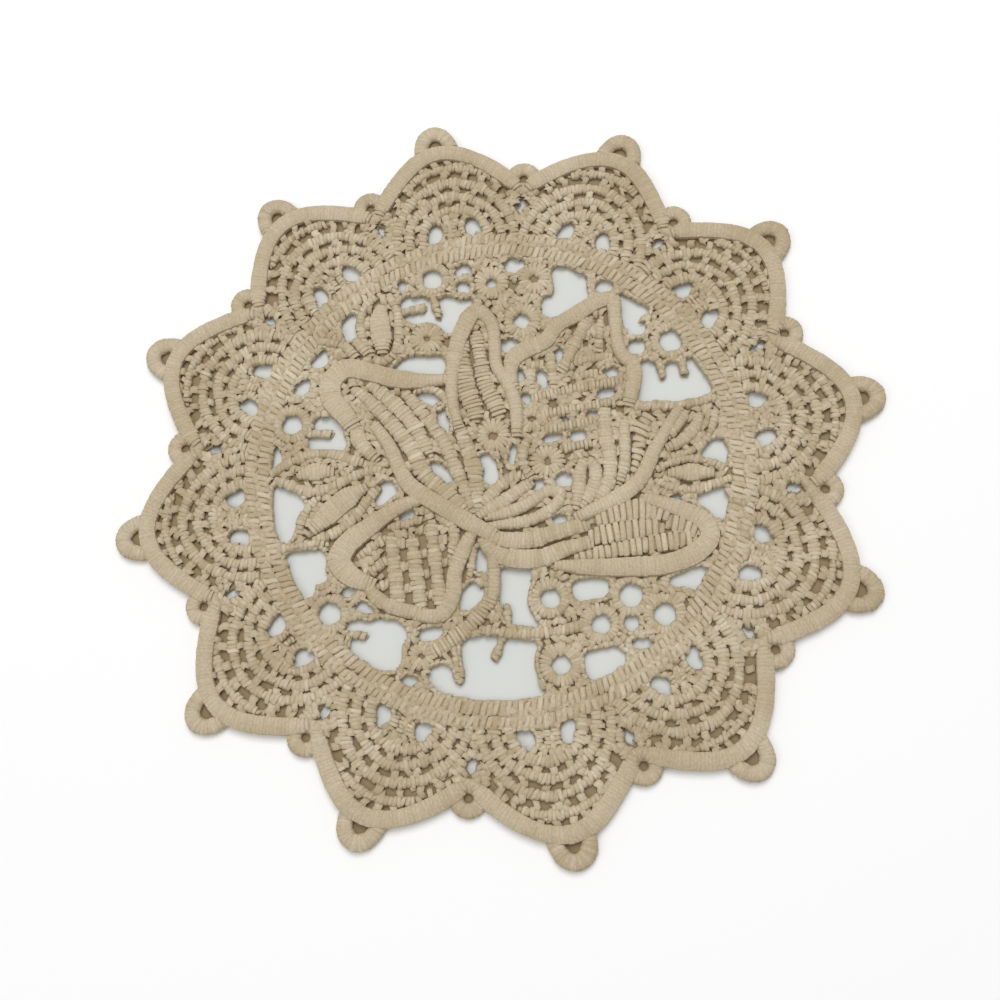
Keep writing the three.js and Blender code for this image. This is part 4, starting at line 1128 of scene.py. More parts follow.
# The light gaps inside the ring, each a smooth loop.
GAPS = (
    ((-18.6, 25.4), (-18, 26.7), (-16.6, 27), (-16.4, 25.6), (-17, 23.9), (-18.2, 23.7)),
    ((-23.9, 20.7), (-23.2, 21.5), (-22, 22.5), (-21.4, 21.9), (-21.6, 20.7), (-22.7, 20.2)),
    ((-26.7, 17), (-26.4, 18), (-25.4, 18.5), (-24.5, 18), (-25, 17), (-26, 16.5)),
    ((-24.3, 12.2), (-22.8, 12.4), (-21.5, 11.2), (-20.9, 9.2), (-21, 7.4), (-23.4, 7.7), (-25.8, 8.4),
     (-26, 9.6), (-24.6, 10.8)),
    ((-30.6, 9.4), (-30.2, 8), (-30.5, 6.4), (-31.2, 6), (-31, 7.6)),
    ((-5.9, 29.2), (-5.7, 31.2), (-3.3, 31.4), (-2.9, 29.8), (-4.2, 28.9)),
    ((-9.7, 30), (-9.1, 30.8), (-8.3, 30.4), (-8.8, 29.7)),
    ((-1, 30.8), (0, 31.5), (1.4, 31.2), (1, 30.3), (-0.4, 30.2)),
    ((6.3, 30.7), (7.4, 31.1), (9.1, 30.2), (8.5, 29.5), (7.2, 29.2)),
    ((-29.3, 12.2), (-28.7, 13.6), (-27.2, 13.7), (-26.4, 12.3), (-27, 10.8), (-28.6, 10.8)),
    ((-9.3, 27.8), (-7.2, 28), (-5.4, 27.1), (-2.6, 26.9), (0.7, 25.7), (-0.6, 24.9), (-1.8, 23.8),
     (-2.4, 22.1), (-3.6, 21.8), (-4.4, 23), (-6, 24), (-8.9, 24.4), (-9.4, 26)),
    ((-1.1, 28), (-0.5, 28.9), (0.6, 28.5), (0.3, 27.4), (-0.7, 27.3)),
    ((3.4, 28), (4.1, 28.7), (4.7, 28), (4, 27.3)),
    ((-12, 17.3), (-10, 18.9), (-7.6, 18.5), (-5, 17.8), (-5.2, 16), (-6.2, 15.5), (-9, 16.3)),
    ((-9.3, 13), (-8.6, 13.4), (-7.4, 12.6), (-6.4, 11.2), (-7, 11), (-8.4, 12)),
    ((3.9, 18.7), (5.6, 18.3), (6.2, 17.8), (5, 17.1), (4.2, 17)),
    ((6.2, 21.2), (7.2, 22.2), (8.4, 21.6), (8.3, 20.6), (7, 20.2)),
    ((5.4, 13.8), (6, 13.4), (5.9, 12.4), (5.4, 12.4)),
    ((8.3, 13.1), (9, 12.5), (9.1, 11), (8.2, 10.6), (7.9, 11.6)),
    ((13.4, 28.2), (14.4, 28.4), (16.2, 27.1), (17.5, 26.2), (17.2, 24.6), (17, 22.6), (16, 21.9),
     (13.6, 21.6), (12, 21.1), (10.8, 21.4), (10.6, 23), (11.2, 24), (12.4, 24.2), (13.1, 25.2),
     (13.1, 26.8)),
    ((18.8, 24.2), (20, 24.9), (21, 23.9), (19.8, 23.2)),
    ((22, 22.2), (23.4, 21), (25.3, 19.2), (24.3, 18.6), (24.2, 17.6), (24.4, 16.6), (23.4, 15.9),
     (22.1, 16.2), (21.7, 18.8)),
    ((21.3, 14.2), (22.4, 14.9), (23.7, 14.4), (23.4, 13.3), (22, 13.2)),
    ((26.1, 13.9), (26.7, 15.2), (28.3, 15.3), (29, 14), (28.4, 12.6), (26.8, 12.5)),
    ((11.2, 16), (11.9, 15.6), (11.8, 14), (11.2, 13.8)),
    ((17.4, 11), (18.6, 11.4), (19.2, 10.7), (18, 10.3)),
    ((22.9, 11.3), (24.1, 11.3), (24.5, 9.9), (24.8, 9), (25.8, 8.9), (26.1, 9.7), (26.4, 10.4),
     (27.4, 10.4), (27.7, 9.5), (28, 8.5), (28.9, 8.5), (29, 9.6), (29.5, 10.7), (30.3, 9.4), (31.3, 5.6),
     (30, 5.1), (27, 5), (24, 5.7), (21.6, 6.2), (22, 8)),
    ((16, 7.7), (16.4, 8.6), (18, 8.6), (18.3, 7.8), (17, 7.5)),
    ((10.6, 2.3), (11, 3), (12.7, 2.9), (12.8, 2.2), (11.6, 2)),
    ((13.7, 5.3), (14.4, 5.6), (15.2, 5.3), (14.4, 5)),
    ((9.8, 5.4), (10.5, 5.6), (11.1, 5.4), (10.5, 5.1)),
    ((28.4, -3.4), (29.4, -2.3), (31.2, -1.9), (31.6, -3.8), (30.6, -5.2), (29.2, -4.7)),
    ((26.4, -9.5), (27.6, -9), (29.4, -8.8), (30.3, -9.1), (30.1, -10.4), (29.5, -12), (28.8, -13.2),
     (27.8, -11.6)),
    ((22, -9), (23, -8.6), (24, -8.9), (23, -9.3)),
    ((7.7, -3.2), (8.8, -2.6), (9.8, -3), (9.4, -4.2), (8.4, -4.1)),
    ((3.8, -3.4), (4.8, -2.9), (6, -3.2), (5.6, -3.9), (4.4, -4)),
    ((6, -8.9), (7, -8.5), (7.9, -8.6), (7.4, -9.2)),
    ((-9.2, 2.4), (-8.2, 2.3), (-7.1, 1), (-6.7, -0.5), (-7.3, -0.8), (-8.4, -0.1), (-9.2, 1.3)),
    ((-2.2, 2), (-1, 2.1), (-0.4, 0.9), (-0.3, -0.8), (-1.2, -1.9), (-2, -1.3), (-1.9, 0.2)),
    ((3, 3.2), (2.8, 2.2), (2.5, 1.1), (2.1, 0.2), (1.9, 0.6), (2.3, 2.2)),
    ((-6.8, 10.2), (-6, 10.4), (-5.8, 8.6), (-6.2, 6.8), (-6.8, 7.4), (-6.9, 9)),
    ((5.2, 9.7), (6, 9.9), (6.5, 9), (5.8, 8.7)),
    ((6.9, 2.9), (8.2, 3.3), (9.6, 3), (8.2, 2.6)),
    ((-31.3, 3.4), (-29.8, 2.6), (-28.3, 1.2), (-27.9, 0), (-29, -1.6), (-30, -3.6), (-31.1, -4.7),
     (-31.9, -3.4), (-32, 0.2)),
    ((-16.8, 0.8), (-15.3, 0.9), (-14.6, -0.3), (-15.8, -1.1), (-17.3, -1.8), (-17.6, -0.8)),
    ((-14.6, -3.9), (-13.8, -3.5), (-12.8, -3.9), (-13.4, -4.8), (-14.4, -4.8)),
    ((-31, -6.8), (-28.4, -6.8), (-26.4, -7), (-26.1, -8.2), (-26.3, -9.8), (-26, -10.8), (-27, -11.2),
     (-27.9, -11.5), (-28.3, -12.7), (-29.4, -12.9), (-30.1, -12), (-30.4, -10)),
    ((-27.9, -15.8), (-27, -14.6), (-25.5, -14.7), (-24.9, -16), (-25.5, -17.2), (-27, -17.4)),
    ((-24.6, -18), (-22.4, -17.7), (-20, -18), (-18, -18.6), (-16.9, -19.3), (-16.6, -21), (-17.4, -22.6),
     (-18.2, -24.7), (-19.8, -24.7), (-21.2, -24.2), (-22.2, -23), (-23.8, -22), (-24.2, -20.6),
     (-23.4, -19.4)),
    ((-22.8, -15.7), (-22, -15.2), (-21.1, -15.8), (-20.4, -16.7), (-21.1, -17), (-22.1, -16.4)),
    ((-24.2, -13.1), (-23.2, -12.9), (-22.4, -13.4), (-23.4, -13.8)),
    ((-14.8, -21), (-13.6, -20.6), (-11.4, -20.9), (-12.6, -21.8), (-14, -21.8)),
    ((-17.9, -26.4), (-17, -26.4), (-15.9, -27.4), (-16.8, -27.6)),
    ((-14.2, -26.4), (-12.8, -25.8), (-11.6, -26.1), (-11.2, -27.6), (-10.4, -28.9), (-9.4, -28.2),
     (-9.1, -26), (-8.8, -23.4), (-7.4, -22.7), (-5, -23.3), (-3, -23.9), (-1, -24.6), (0.6, -25),
     (-0.1, -27), (-0.2, -29), (0.3, -30.8), (0.6, -31.6), (-2, -31.8), (-6, -31.3), (-10, -30.2),
     (-13.2, -28.6)),
    ((-5.9, -15.6), (-5.2, -16.2), (-5.4, -17.4), (-6.6, -18.3), (-8.2, -18.7), (-8, -17.2), (-7, -15.8)),
    ((-5.1, -11.2), (-4.4, -10.9), (-3.9, -11.7), (-3.9, -13.2), (-4.5, -14), (-5.2, -13.6), (-5.4, -12.3)),
    ((-2.4, -14.4), (-0.6, -14.5), (1.8, -15.2), (1.8, -16), (0.8, -17.6), (0.4, -19.6), (0.9, -21.6),
     (1.4, -22.6), (0.2, -22.3), (-1.2, -21.9), (-2.2, -21.4), (-2.9, -19.4), (-2.7, -17.6)),
    ((2.6, -19.4), (3.2, -18.4), (4.4, -18.4), (5, -19.4), (4.3, -20.5), (3.2, -20.4)),
    ((8.5, -24.1), (9.2, -23), (10.5, -23), (11.1, -24.1), (10.4, -25.3), (9.2, -25.3)),
    ((2.4, -28.5), (3, -27.4), (4.3, -27.4), (4.9, -28.5), (4.2, -29.7), (3, -29.7)),
    ((7.4, -18.1), (9, -18), (11.6, -18.5), (11.8, -19.6), (11, -20.3), (9.4, -20.3), (7.6, -20.2),
     (7.1, -19.2)),
    ((7.1, -28), (8.6, -27.7), (11, -27.7), (12, -28.6), (11.6, -29.8), (10.3, -30.4), (7.8, -31),
     (7, -30.6)),
    ((13.4, -20.3), (14.6, -19.4), (16, -20.3), (16.2, -21.8), (15.2, -22.9), (13.8, -22.5), (13, -21.4)),
    ((13.1, -24.3), (14, -23.9), (14.7, -24.4), (14.4, -25.4), (13.5, -25.5)),
    ((17.2, -23.8), (18.4, -22.9), (19.8, -23.4), (20.1, -24.8), (19, -26.1), (17.7, -25.5)),
    ((13.4, -27.7), (14.6, -27), (16.1, -27.8), (14.8, -28.2)),
    ((20.2, -20.1), (21.4, -19.7), (24, -19.2), (25.2, -19.3), (24.3, -20.5), (23.3, -21.6), (22.6, -22),
     (22.2, -21), (20.8, -20.8)),
)
# Small pits in the filling, where the ground shows in its painted shade.
PITS = (
    ((-19.2, 17.2), 0.6, 0.4, 45), ((-16.5, 27.4), 0.6, 0.4, -20), ((9.9, 19.3), 0.9, 0.35, 35),
    ((8.6, 15.1), 0.9, 0.3, 0), ((12.1, 16.7), 0.9, 0.3, 80), ((14.3, 18.2), 0.8, 0.4, 50),
    ((17, 19.4), 0.6, 0.4, 30), ((18.5, 18.4), 0.8, 0.3, 90), ((15.6, 15.6), 0.6, 0.4, 30),
    ((18.1, 15.8), 0.5, 0.4, 0), ((18.1, 14.3), 0.6, 0.3, 80), ((16.3, 12.3), 0.6, 0.4, -30),
    ((13.2, 12.4), 0.7, 0.3, 10), ((12.4, 10.6), 0.9, 0.3, 65), ((19.4, 11.8), 0.5, 0.3, -30),
    ((13.4, 8), 0.9, 0.3, 0), ((9.6, 7.9), 0.8, 0.3, 0), ((18, 5.1), 1, 0.35, 0),
    ((15.4, 2.6), 0.6, 0.4, 30), ((2.9, 12.5), 0.4, 0.3, 0), ((5.9, 14.3), 0.4, 0.5, 0),
    ((-3.9, 20.3), 0.5, 0.9, 0), ((-10.2, 22.7), 0.3, 0.9, 0), ((-15.1, -12.6), 0.45, 0.9, 0),
    ((-15.3, -15.9), 0.5, 0.6, 0), ((-15, -10), 0.4, 0.6, 0), ((-12.2, -11.4), 0.5, 0.9, 0),
    ((-12.4, -14.5), 0.4, 0.8, 0), ((-12, -17.2), 0.5, 0.4, 0), ((-12, -8.3), 0.4, 0.7, 0),
    ((-9.6, -14.2), 0.4, 1.6, 0), ((-9.2, -10.2), 0.5, 0.7, 0), ((-22, -9), 0.7, 0.4, 20),
    ((-20, -7.7), 0.6, 0.35, 25), ((-17.4, -8.3), 0.6, 0.4, 0), ((-19.3, -10.3), 0.7, 0.4, 0),
    ((-17.8, -11.7), 0.6, 0.4, 40), ((-18, -14.5), 0.4, 0.6, 20), ((-7, -13.4), 0.3, 0.6, 10),
    ((-6.6, -8.3), 0.4, 0.9, -25), ((-9.4, -7.5), 0.4, 0.3, 0), ((3.4, 23.9), 0.3, 0.6, 0),
    ((7, 26.6), 0.35, 0.9, 0), ((3.4, 29.4), 0.7, 0.3, 0), ((6.6, -24.6), 0.5, 0.6, 0),
)
# The pieces whose painted crevice shade is lighter, in their own copy of the thread's material.
LIGHTER_SHADE_PIECES = ("scallop_edges", "picots", "gap_rims", "eyelets_and_bars")


def mirrored(half: Sequence[Point]) -> list[Point]:
    """A line that is the same on both sides of u, from its half."""
    return [(u, -v) for u, v in reversed(half[1:])] + list(half)


def polar(radius: float, angle: float, middle: Point = (0.0, 0.0)) -> Point:
    """The point at some distance from a middle, at an angle in radians from +X."""
    return (middle[0] + radius * np.cos(angle), middle[1] + radius * np.sin(angle))


def circle(radius: float, count: int = 96) -> np.ndarray:
    """Even points on a circle about the middle of the coaster, counter-clockwise from +X."""
    angle = np.linspace(0, 2 * np.pi, count, endpoint=False)
    return radius * np.stack([np.cos(angle), np.sin(angle)], axis=1)


def strewn(rng: np.random.Generator, outline: np.ndarray, apart: float) -> np.ndarray:
    """Spots spread unevenly over the inside of an outline.

    Args:
        rng: the source of the unevenness.
        outline: the outline's points.
        apart: how far apart the spots are, about.

    Returns:
        The spots, one a row.
    """
    stray = 0.42
    low, high = outline.min(axis=0), outline.max(axis=0)
    across = [np.arange(low[axis], high[axis], apart) for axis in (0, 1)]
    spots = np.stack(np.meshgrid(*across), axis=-1).reshape(-1, 2)
    spots = spots + apart * rng.uniform(-stray, stray, size=spots.shape)
    return spots[inside(spots, outline)]


def inside(spots: np.ndarray, outline: np.ndarray) -> np.ndarray:
    """Which spots lie inside an outline.

    Args:
        spots: the spots, one a row.
        outline: the outline's points, one a row.

    Returns:
        True for each spot inside.
    """
    start, end = outline, np.roll(outline, -1, axis=0)
    x, y = spots[:, :1], spots[:, 1:]
    crosses = (start[:, 1] > y) != (end[:, 1] > y)
    fall = np.where(end[:, 1] == start[:, 1], 1, end[:, 1] - start[:, 1])
    left = x < start[:, 0] + (y - start[:, 1]) * (end[:, 0] - start[:, 0]) / fall
    return (crosses & left).sum(axis=1) % 2 == 1


@dataclass
class Room:
    """Spots for short stitches, and which of them have room.

    Attributes:
        spots: the stitches' middles.
        angles: their directions, in radians.
        reach: how far a stitch's ends are from its middle, about.
        pit_ends: how far outside a pit's ends a middle lies at least.
        pit_sides: how far outside its sides.
        step: distance between the places at which a course is looked at.
    """

    spots: np.ndarray
    angles: np.ndarray
    reach: float = 0.75
    pit_ends: float = 0.2
    pit_sides: float = 0.25
    step: float = 0.5

    def off_gaps(self, gaps: Sequence[np.ndarray]) -> np.ndarray:
        """Which stitches reach into none of some gaps.

        Args:
            gaps: the gaps' outlines.

        Returns:
            True for each such stitch.
        """
        room = np.ones(len(self.spots), bool)
        along = self.reach * np.stack([np.cos(self.angles), np.sin(self.angles)], axis=-1)
        for gap in gaps:
            for place in (self.spots, self.spots + along, self.spots - along):
                room &= ~inside(place, gap)
        return room

    def off_pits(self, pits: Sequence[Pit]) -> np.ndarray:
        """Which stitches keep clear of some pits.

        Args:
            pits: the pits.

        Returns:
            True for each such stitch.
        """
        room = np.ones(len(self.spots), bool)
        for middle, long, wide, lean in pits:
            away = self.spots - np.array(middle)
            turn = np.radians(lean)
            far = away[:, 0] * np.cos(turn) + away[:, 1] * np.sin(turn)
            side = away[:, 1] * np.cos(turn) - away[:, 0] * np.sin(turn)
            room &= (far / (long + self.pit_ends)) ** 2 + (side / (wide + self.pit_sides)) ** 2 > 1
        return room

    def off_courses(self, courses: Sequence[Course], clear: float) -> np.ndarray:
        """Which stitches keep off some cords.

        Args:
            courses: the cords' courses.
            clear: how far outside a cord's edge a middle lies at least; below 0 it may lie on the cord.

        Returns:
            True for each such stitch.
        """
        room = np.ones(len(self.spots), bool)
        for course in courses:
            line, _, width = course.at(np.arange(0, course.length, self.step))
            gap = np.linalg.norm(self.spots[:, None] - line[None], axis=2) - width / 2
            room &= gap.min(axis=1) > clear
        return room


@dataclass
class ScallopBand:
    """The twelve scallops around the ring.

    Attributes:
        rng: the seeded source of the stitches' small differences.
        oval_at: the middle of the oval eyelet on one side of a scallop.
        oval_radii: its two radii.
        oval_width: the width of the cord round it.
        oval_lean: how far it is turned, in radians.
        hole_shares: the shares of its radii that the hole in the ground has.
        hole_sides: how many sides that hole has.
        block_width: the width of the rows between the two ovals.
        block_height: the share of their usual height that they have.
        tip_height: the same for the picot at a tip.
        valley_at: how far out the round picot in a valley is.
        valley_radius: its radius.
        valley_width: the width of its cord.
        valley_height: the share of its usual height that it has.
        gap_at: how far out the light gap in a valley is.
        gap_room: its half length and half width.
        arch_centre: the middle of a scallop's arches.
        lean_start: how far out a tip begins to lean.
        lean_end: how far out it leans by the whole amount.
        apart: how far apart the short stitches are, about.
        swing: how much their directions differ, in radians.
        height: how high they stand.
        clear: how far outside the cords' edges they lie at least.
        bar_clear: how far they lie from the middle of a bar between two slots.
        bar_swing: how much the bars' directions differ, in radians.
        bar_height: how high the bars stand.
        bar_width: half of their width.
    """

    rng: np.random.Generator
    oval_at: Point = (37.35, 2.95)
    oval_radii: Pair = (2.0, 1.6)
    oval_width: float = 0.8
    oval_lean: float = 0.35
    hole_shares: Pair = (0.8, 0.75)
    hole_sides: int = 12
    block_width: float = 1.2
    block_height: float = 0.9
    tip_height: float = 0.95
    valley_at: float = 45.0
    valley_radius: float = 1.6
    valley_width: float = 2.0
    valley_height: float = 0.9
    gap_at: float = 40.8
    gap_room: Pair = (1.3, 0.8)
    arch_centre: Point = (36.5, 0.0)
    lean_start: float = 46.0
    lean_end: float = 53.0
    apart: float = 0.62
    swing: float = 0.3
    height: float = 1.25
    clear: float = -0.15
    bar_clear: float = 0.7
    bar_swing: float = 0.12
    bar_height: float = 1.3
    bar_width: float = 0.56

    def place(self, threads: Threads, first: int, index: float, lean: float) -> None:
        """Leans the tip of a scallop made about +X and turns the scallop to its place.

        Args:
            threads: what holds the scallop.
            first: how many groups of corners were there before this scallop.
            index: which scallop it is; a half more is the valley after it.
            lean: how far its tip goes along the rim, in millimetres.
        """
        angle = 2 * HALF_SCALLOP * index
        turn = np.array([[np.cos(angle), np.sin(angle)], [-np.sin(angle), np.cos(angle)]])
        for group in threads.corners[first:]:
            share = np.clip((group[:, 0] - self.lean_start) / (self.lean_end - self.lean_start), 0, 1)
            group[:, 1] += lean * share**2 * (3 - 2 * share)
            group[:, :2] = group[:, :2] @ turn

    def rows(self, name: str, courses: list[tuple[Course, Stitch, float]]) -> Threads:
        """Winds the same courses in each of the scallops.

        Args:
            name: the piece's name.
            courses: the courses of the scallop on +X, with their stitching and share of height.

        Returns:
            The wound threads.
        """
        threads = Threads(name, self.rng)
        for index in range(SCALLOPS):
            first = len(threads.corners)
            for course, stitch, height in courses:
                threads.wind(course, stitch, height)
            self.place(threads, first, index, TIP_LEAN[index])
        return threads

    def edges(self) -> Threads:
        """The padded edges."""
        stitch, widths, half = EDGE
        return self.rows("scallop_edges", [(Course.through(mirrored(half), widths), stitch, 1.0)])

    def arches(self) -> Threads:
        """The arches inside the edges.

        Returns:
            The wound threads.
        """
        courses = []
        for stitch, width, half in ARCHES:
            courses.append((Course.through(mirrored(half), (width, width)), stitch, 1.0))
        return self.rows("scallop_arches", courses)

    def ovals(self) -> Threads:
        """The oval eyelets and the block between them, by the ring.

        Returns:
            The wound threads.
        """
        courses = []
        for ends in BLOCK_ROWS:
            course = Course.through(ends, (self.block_width, self.block_width))
            courses.append((course, Stitch.RIB, self.block_height))
        for side in (1, -1):
            centre = (self.oval_at[0], side * self.oval_at[1])
            course = Course.oval(centre, self.oval_radii, self.oval_width, -side * self.oval_lean)
            courses.append((course, Stitch.TIE, 1.0))
        return self.rows("scallop_ovals", courses)

    def oval_holes(self) -> list[np.ndarray]:
        """The holes of the scallop on +X.

        Returns:
            The outlines of its two oval holes, counter-clockwise.
        """
        angle = np.linspace(0, 2 * np.pi, self.hole_sides, endpoint=False)
        holes = []
        for side in (1, -1):
            lean = -side * self.oval_lean
            u = self.oval_radii[0] * self.hole_shares[0] * np.cos(angle)
            v = self.oval_radii[1] * self.hole_shares[1] * np.sin(angle)
            at_u = self.oval_at[0] + u * np.cos(lean) - v * np.sin(lean)
            at_v = side * self.oval_at[1] + u * np.sin(lean) + v * np.cos(lean)
            holes.append(np.stack([at_u, at_v], axis=1))
        return holes

    def picots(self) -> Threads:
        """The picots at the tips and in the valleys.

        Returns:
            The wound threads.
        """
        stitch, widths, through = TIP_PICOT
        tip = Course.through(through, widths)
        middle = polar(self.valley_at, HALF_SCALLOP)
        valley = Course.oval(middle, (self.valley_radius, self.valley_radius), self.valley_width)
        return self.rows(
            "picots", [(tip, stitch, self.tip_height), (valley, Stitch.LOOP, self.valley_height)]
        )

    def ground(self, threads: Threads) -> None:
        """Lays the flat ground under the scallops, with its oval holes.

        Args:
            threads: what the ground is added to.
        """
        holes = [hole[::-1] for hole in self.oval_holes()]
        for index in range(SCALLOPS):
            first = len(threads.corners)
            threads.plate(mirrored(GROUND_HALF), holes, *GROUND_LEVELS)
            threads.plate(mirrored(PICOT_GROUND), (), *PICOT_LEVELS)
            self.place(threads, first, index, TIP_LEAN[index])
            first = len(threads.corners)
            threads.plate(mirrored(VALLEY_GROUND), (), *PICOT_LEVELS)
            self.place(threads, first, index + 0.5, 0.0)

    def free_places(self) -> tuple[list[Pit], list[Pair]]:
        """The places between the arches of the scallop on +X.

        Returns:
            The slots and valley gaps, which stay free, and the bars between the slots: their radii about
            the arches' middle, and where they are, in degrees.
        """
        slots, bars = [], []
        for radius, long, wide, places in SLOTS:
            round_it = sorted({*places, *(-place for place in places)})
            for place in round_it:
                slots.append((polar(radius, np.radians(place), self.arch_centre), long, wide, place + 90))
            bars += [(radius, (one + other) / 2) for one, other in zip(round_it, round_it[1:])]
        for side in (-1, 1):
            angle = side * HALF_SCALLOP
            slots.append((polar(self.gap_at, angle), *self.gap_room, np.degrees(angle)))
        return slots, bars

    def filling(self, others: Sequence[Course]) -> Threads:
        """The short stitches between the arches, which leave the slots free.

        Args:
            others: the courses of one scallop.

        Returns:
            The stitches.
        """
        threads = Threads("scallop_filling", self.rng)
        outline = np.array(mirrored(GROUND_HALF))
        slots, bars = self.free_places()
        turns = np.radians([place for _, place in bars])
        middles = np.array([polar(bar[0], turn, self.arch_centre) for bar, turn in zip(bars, turns)])
        for index in range(SCALLOPS):
            first = len(threads.corners)
            spots = strewn(self.rng, outline, self.apart)
            away = spots - np.array(self.arch_centre)
            swing = self.swing * self.rng.normal(size=len(spots))
            angles = np.arctan2(away[:, 1], away[:, 0]) + swing
            room = Room(spots, angles)
            free = room.off_gaps(self.oval_holes()) & room.off_pits(slots)
            free &= room.off_courses(others, self.clear)
            free &= np.linalg.norm(spots[:, None] - middles[None], axis=2).min(axis=1) > self.bar_clear
            threads.staples(spots[free], angles[free], self.height)
            bar_angles = turns + self.bar_swing * self.rng.normal(size=len(turns))
            threads.staples(middles, bar_angles, self.bar_height, self.bar_width)
            self.place(threads, first, index, TIP_LEAN[index])
        return threads


@dataclass
class Flower:
    """The ring and the flower inside it.

    Attributes:
        rng: the seeded source of the stitches' small differences.
        ring_rows: the ring's two rows of stitches, each with its radius and width.
        ground_radius: how far out the ground inside the ring goes.
        eyelet_height: the share of their usual height that the eyelets have.
        eyelet_places: at how many places round an eyelet its width is another.
        eyelet_spread: how much the width differs, as a share of it.
        bar_widths: the widths along a bar, whose second end may lie free in a gap.
        gap_growth: how far a gap's edge lies outside its loop.
        gap_step: distance between the points of the edge.
        rim_out: how far outside its loop the stitches round a gap run.
        rim_width: the width of these stitches.
        net_middle: the middle of the part that is filled closely.
        net_reach: how far out from there that part goes.
        inset: how far inside the ground's edge the filling ends.
        room_step: distance between the points of a gap's edge that the filling keeps to.
        apart: how far apart the short stitches are, about.
        swing: how much their directions differ, in radians.
        height: how high they stand.
        clear: how far outside the cords' edges they lie at least.
        net_clear: the same in the part that is filled closely.
        rim_clear: the same for the stitches round the gaps.
    """

    rng: np.random.Generator
    ring_rows: tuple[Pair, Pair] = ((33.35, 2.1), (35.15, 1.9))
    ground_radius: float = 33.2
    eyelet_height: float = 0.9
    eyelet_places: int = 7
    eyelet_spread: float = 0.07
    bar_widths: tuple[float, ...] = (1.2, 1.2, 1.6)
    gap_growth: float = 0.38
    gap_step: float = 0.5
    rim_out: float = 0.63
    rim_width: float = 0.85
    net_middle: Point = (12.6, 10.6)
    net_reach: float = 10.0
    inset: float = 0.6
    room_step: float = 0.4
    apart: float = 0.66
    swing: float = 0.9
    height: float = 1.2
    clear: float = 0.08
    net_clear: float = -0.3
    rim_clear: float = -0.4

    def ring(self) -> Threads:
        """The two rows of slanted stitches that make the ring.

        Returns:
            The wound threads.
        """
        threads = Threads("ring", self.rng)
        for radius, width in self.ring_rows:
            threads.wind(Course.oval((0, 0), (radius, radius), width), Stitch.ROW)
        return threads

    def leaf(self, name: str, rows: Sequence[Row]) -> Threads:
        """One petal, leaf or set of stalks.

        Args:
            name: the piece's name.
            rows: its cords.

        Returns:
            The wound threads.
        """
        threads = Threads(name, self.rng)
        for stitch, widths, through in rows:
            threads.wind(Course.through(through, widths), stitch)
        return threads

    def eyelets(
        self, name: str, eyelets: Sequence[Eyelet], bars: Sequence[tuple[Point, Point]]
    ) -> Threads:
        """Round eyelets and straight bars.

        Args:
            name: the piece's name.
            eyelets: the eyelets.
            bars: the two ends of each bar.

        Returns:
            The wound threads.
        """
        threads = Threads(name, self.rng)
        for middle, radius, width in eyelets:
            share = 1 + self.eyelet_spread * self.rng.normal(size=self.eyelet_places)
            course = Course.oval(middle, (radius, radius), width)
            course.widths = width * np.append(share, share[0])
            threads.wind(course, Stitch.FINE, self.eyelet_height)
        for ends in bars:
            threads.wind(Course.through(ends, self.bar_widths), Stitch.TIE)
        return threads

    def rims(self) -> Threads:
        """The stitches round the edges of the light gaps.

        Returns:
            The wound threads.
        """
        threads = Threads("gap_rims", self.rng)
        for gap in GAPS:
            threads.wind(Course.around(gap, self.rim_out, self.rim_width), Stitch.TIE)
        return threads

    def gap_edges(self, step: float) -> list[np.ndarray]:
        """The edges of the light gaps, counter-clockwise, with points a step apart."""
        return [Course.around(gap, self.gap_growth, 0, step).spots[:-1] for gap in GAPS]

    def ground(self, threads: Threads) -> None:
        """Lays the flat ground inside the ring, with the light gaps.

        Args:
            threads: what the ground is added to.
        """
        holes = [edge[::-1] for edge in self.gap_edges(self.gap_step)]
        threads.plate(circle(self.ground_radius), holes, *GROUND_LEVELS)

    def filling(self, others: Sequence[Course], rims: Sequence[Course]) -> Threads:
        """The short stitches that fill the rest of the ground.

        Args:
            others: the courses that already cover some of it.
            rims: the courses round the gaps, which the stitches reach over a little.

        Returns:
            The stitches.
        """
        threads = Threads("flower_filling", self.rng)
        spots = strewn(self.rng, circle(self.ground_radius - self.inset), self.apart)
        swing = self.swing * self.rng.normal(size=len(spots))
        angles = np.arctan2(spots[:, 1], spots[:, 0]) + swing
        pits = list(PITS)
        for middle, radius, width in (*EYELETS, *FLOWER_EYELETS):
            pits.append((middle, radius - width / 2, radius - width / 2, 0))
        room = Room(spots, angles)
        free = room.off_courses(others, self.clear)
        close = np.linalg.norm(spots - np.array(self.net_middle), axis=1) < self.net_reach
        free |= close & room.off_courses(others, self.net_clear)
        free &= room.off_gaps(self.gap_edges(self.room_step)) & room.off_pits(pits)
        free &= room.off_courses(rims, self.rim_clear)
        threads.staples(spots[free], angles[free], self.height)
        return threads


@dataclass(frozen=True)
class Lamp:
    """A soft square lamp that faces the coaster.

    Attributes:
        name: the lamp's name.
        place: where it hangs, in metres.
        side: the length of its sides, in metres.
        power: its power, in watts.
    """

    name: str
    place: Place
    side: float
    power: float

    def hang(self) -> None:
        """Adds the lamp to the scene."""
        data = bpy.data.lights.new(self.name, "AREA")
        data.shape = "SQUARE"
        data.size = self.side
        data.energy = self.power
        lamp = bpy.data.objects.new(self.name, data)
        lamp.location = self.place
        lamp.rotation_euler = Vector(self.place).to_track_quat("Z", "Y").to_euler()
        bpy.context.scene.collection.objects.link(lamp)


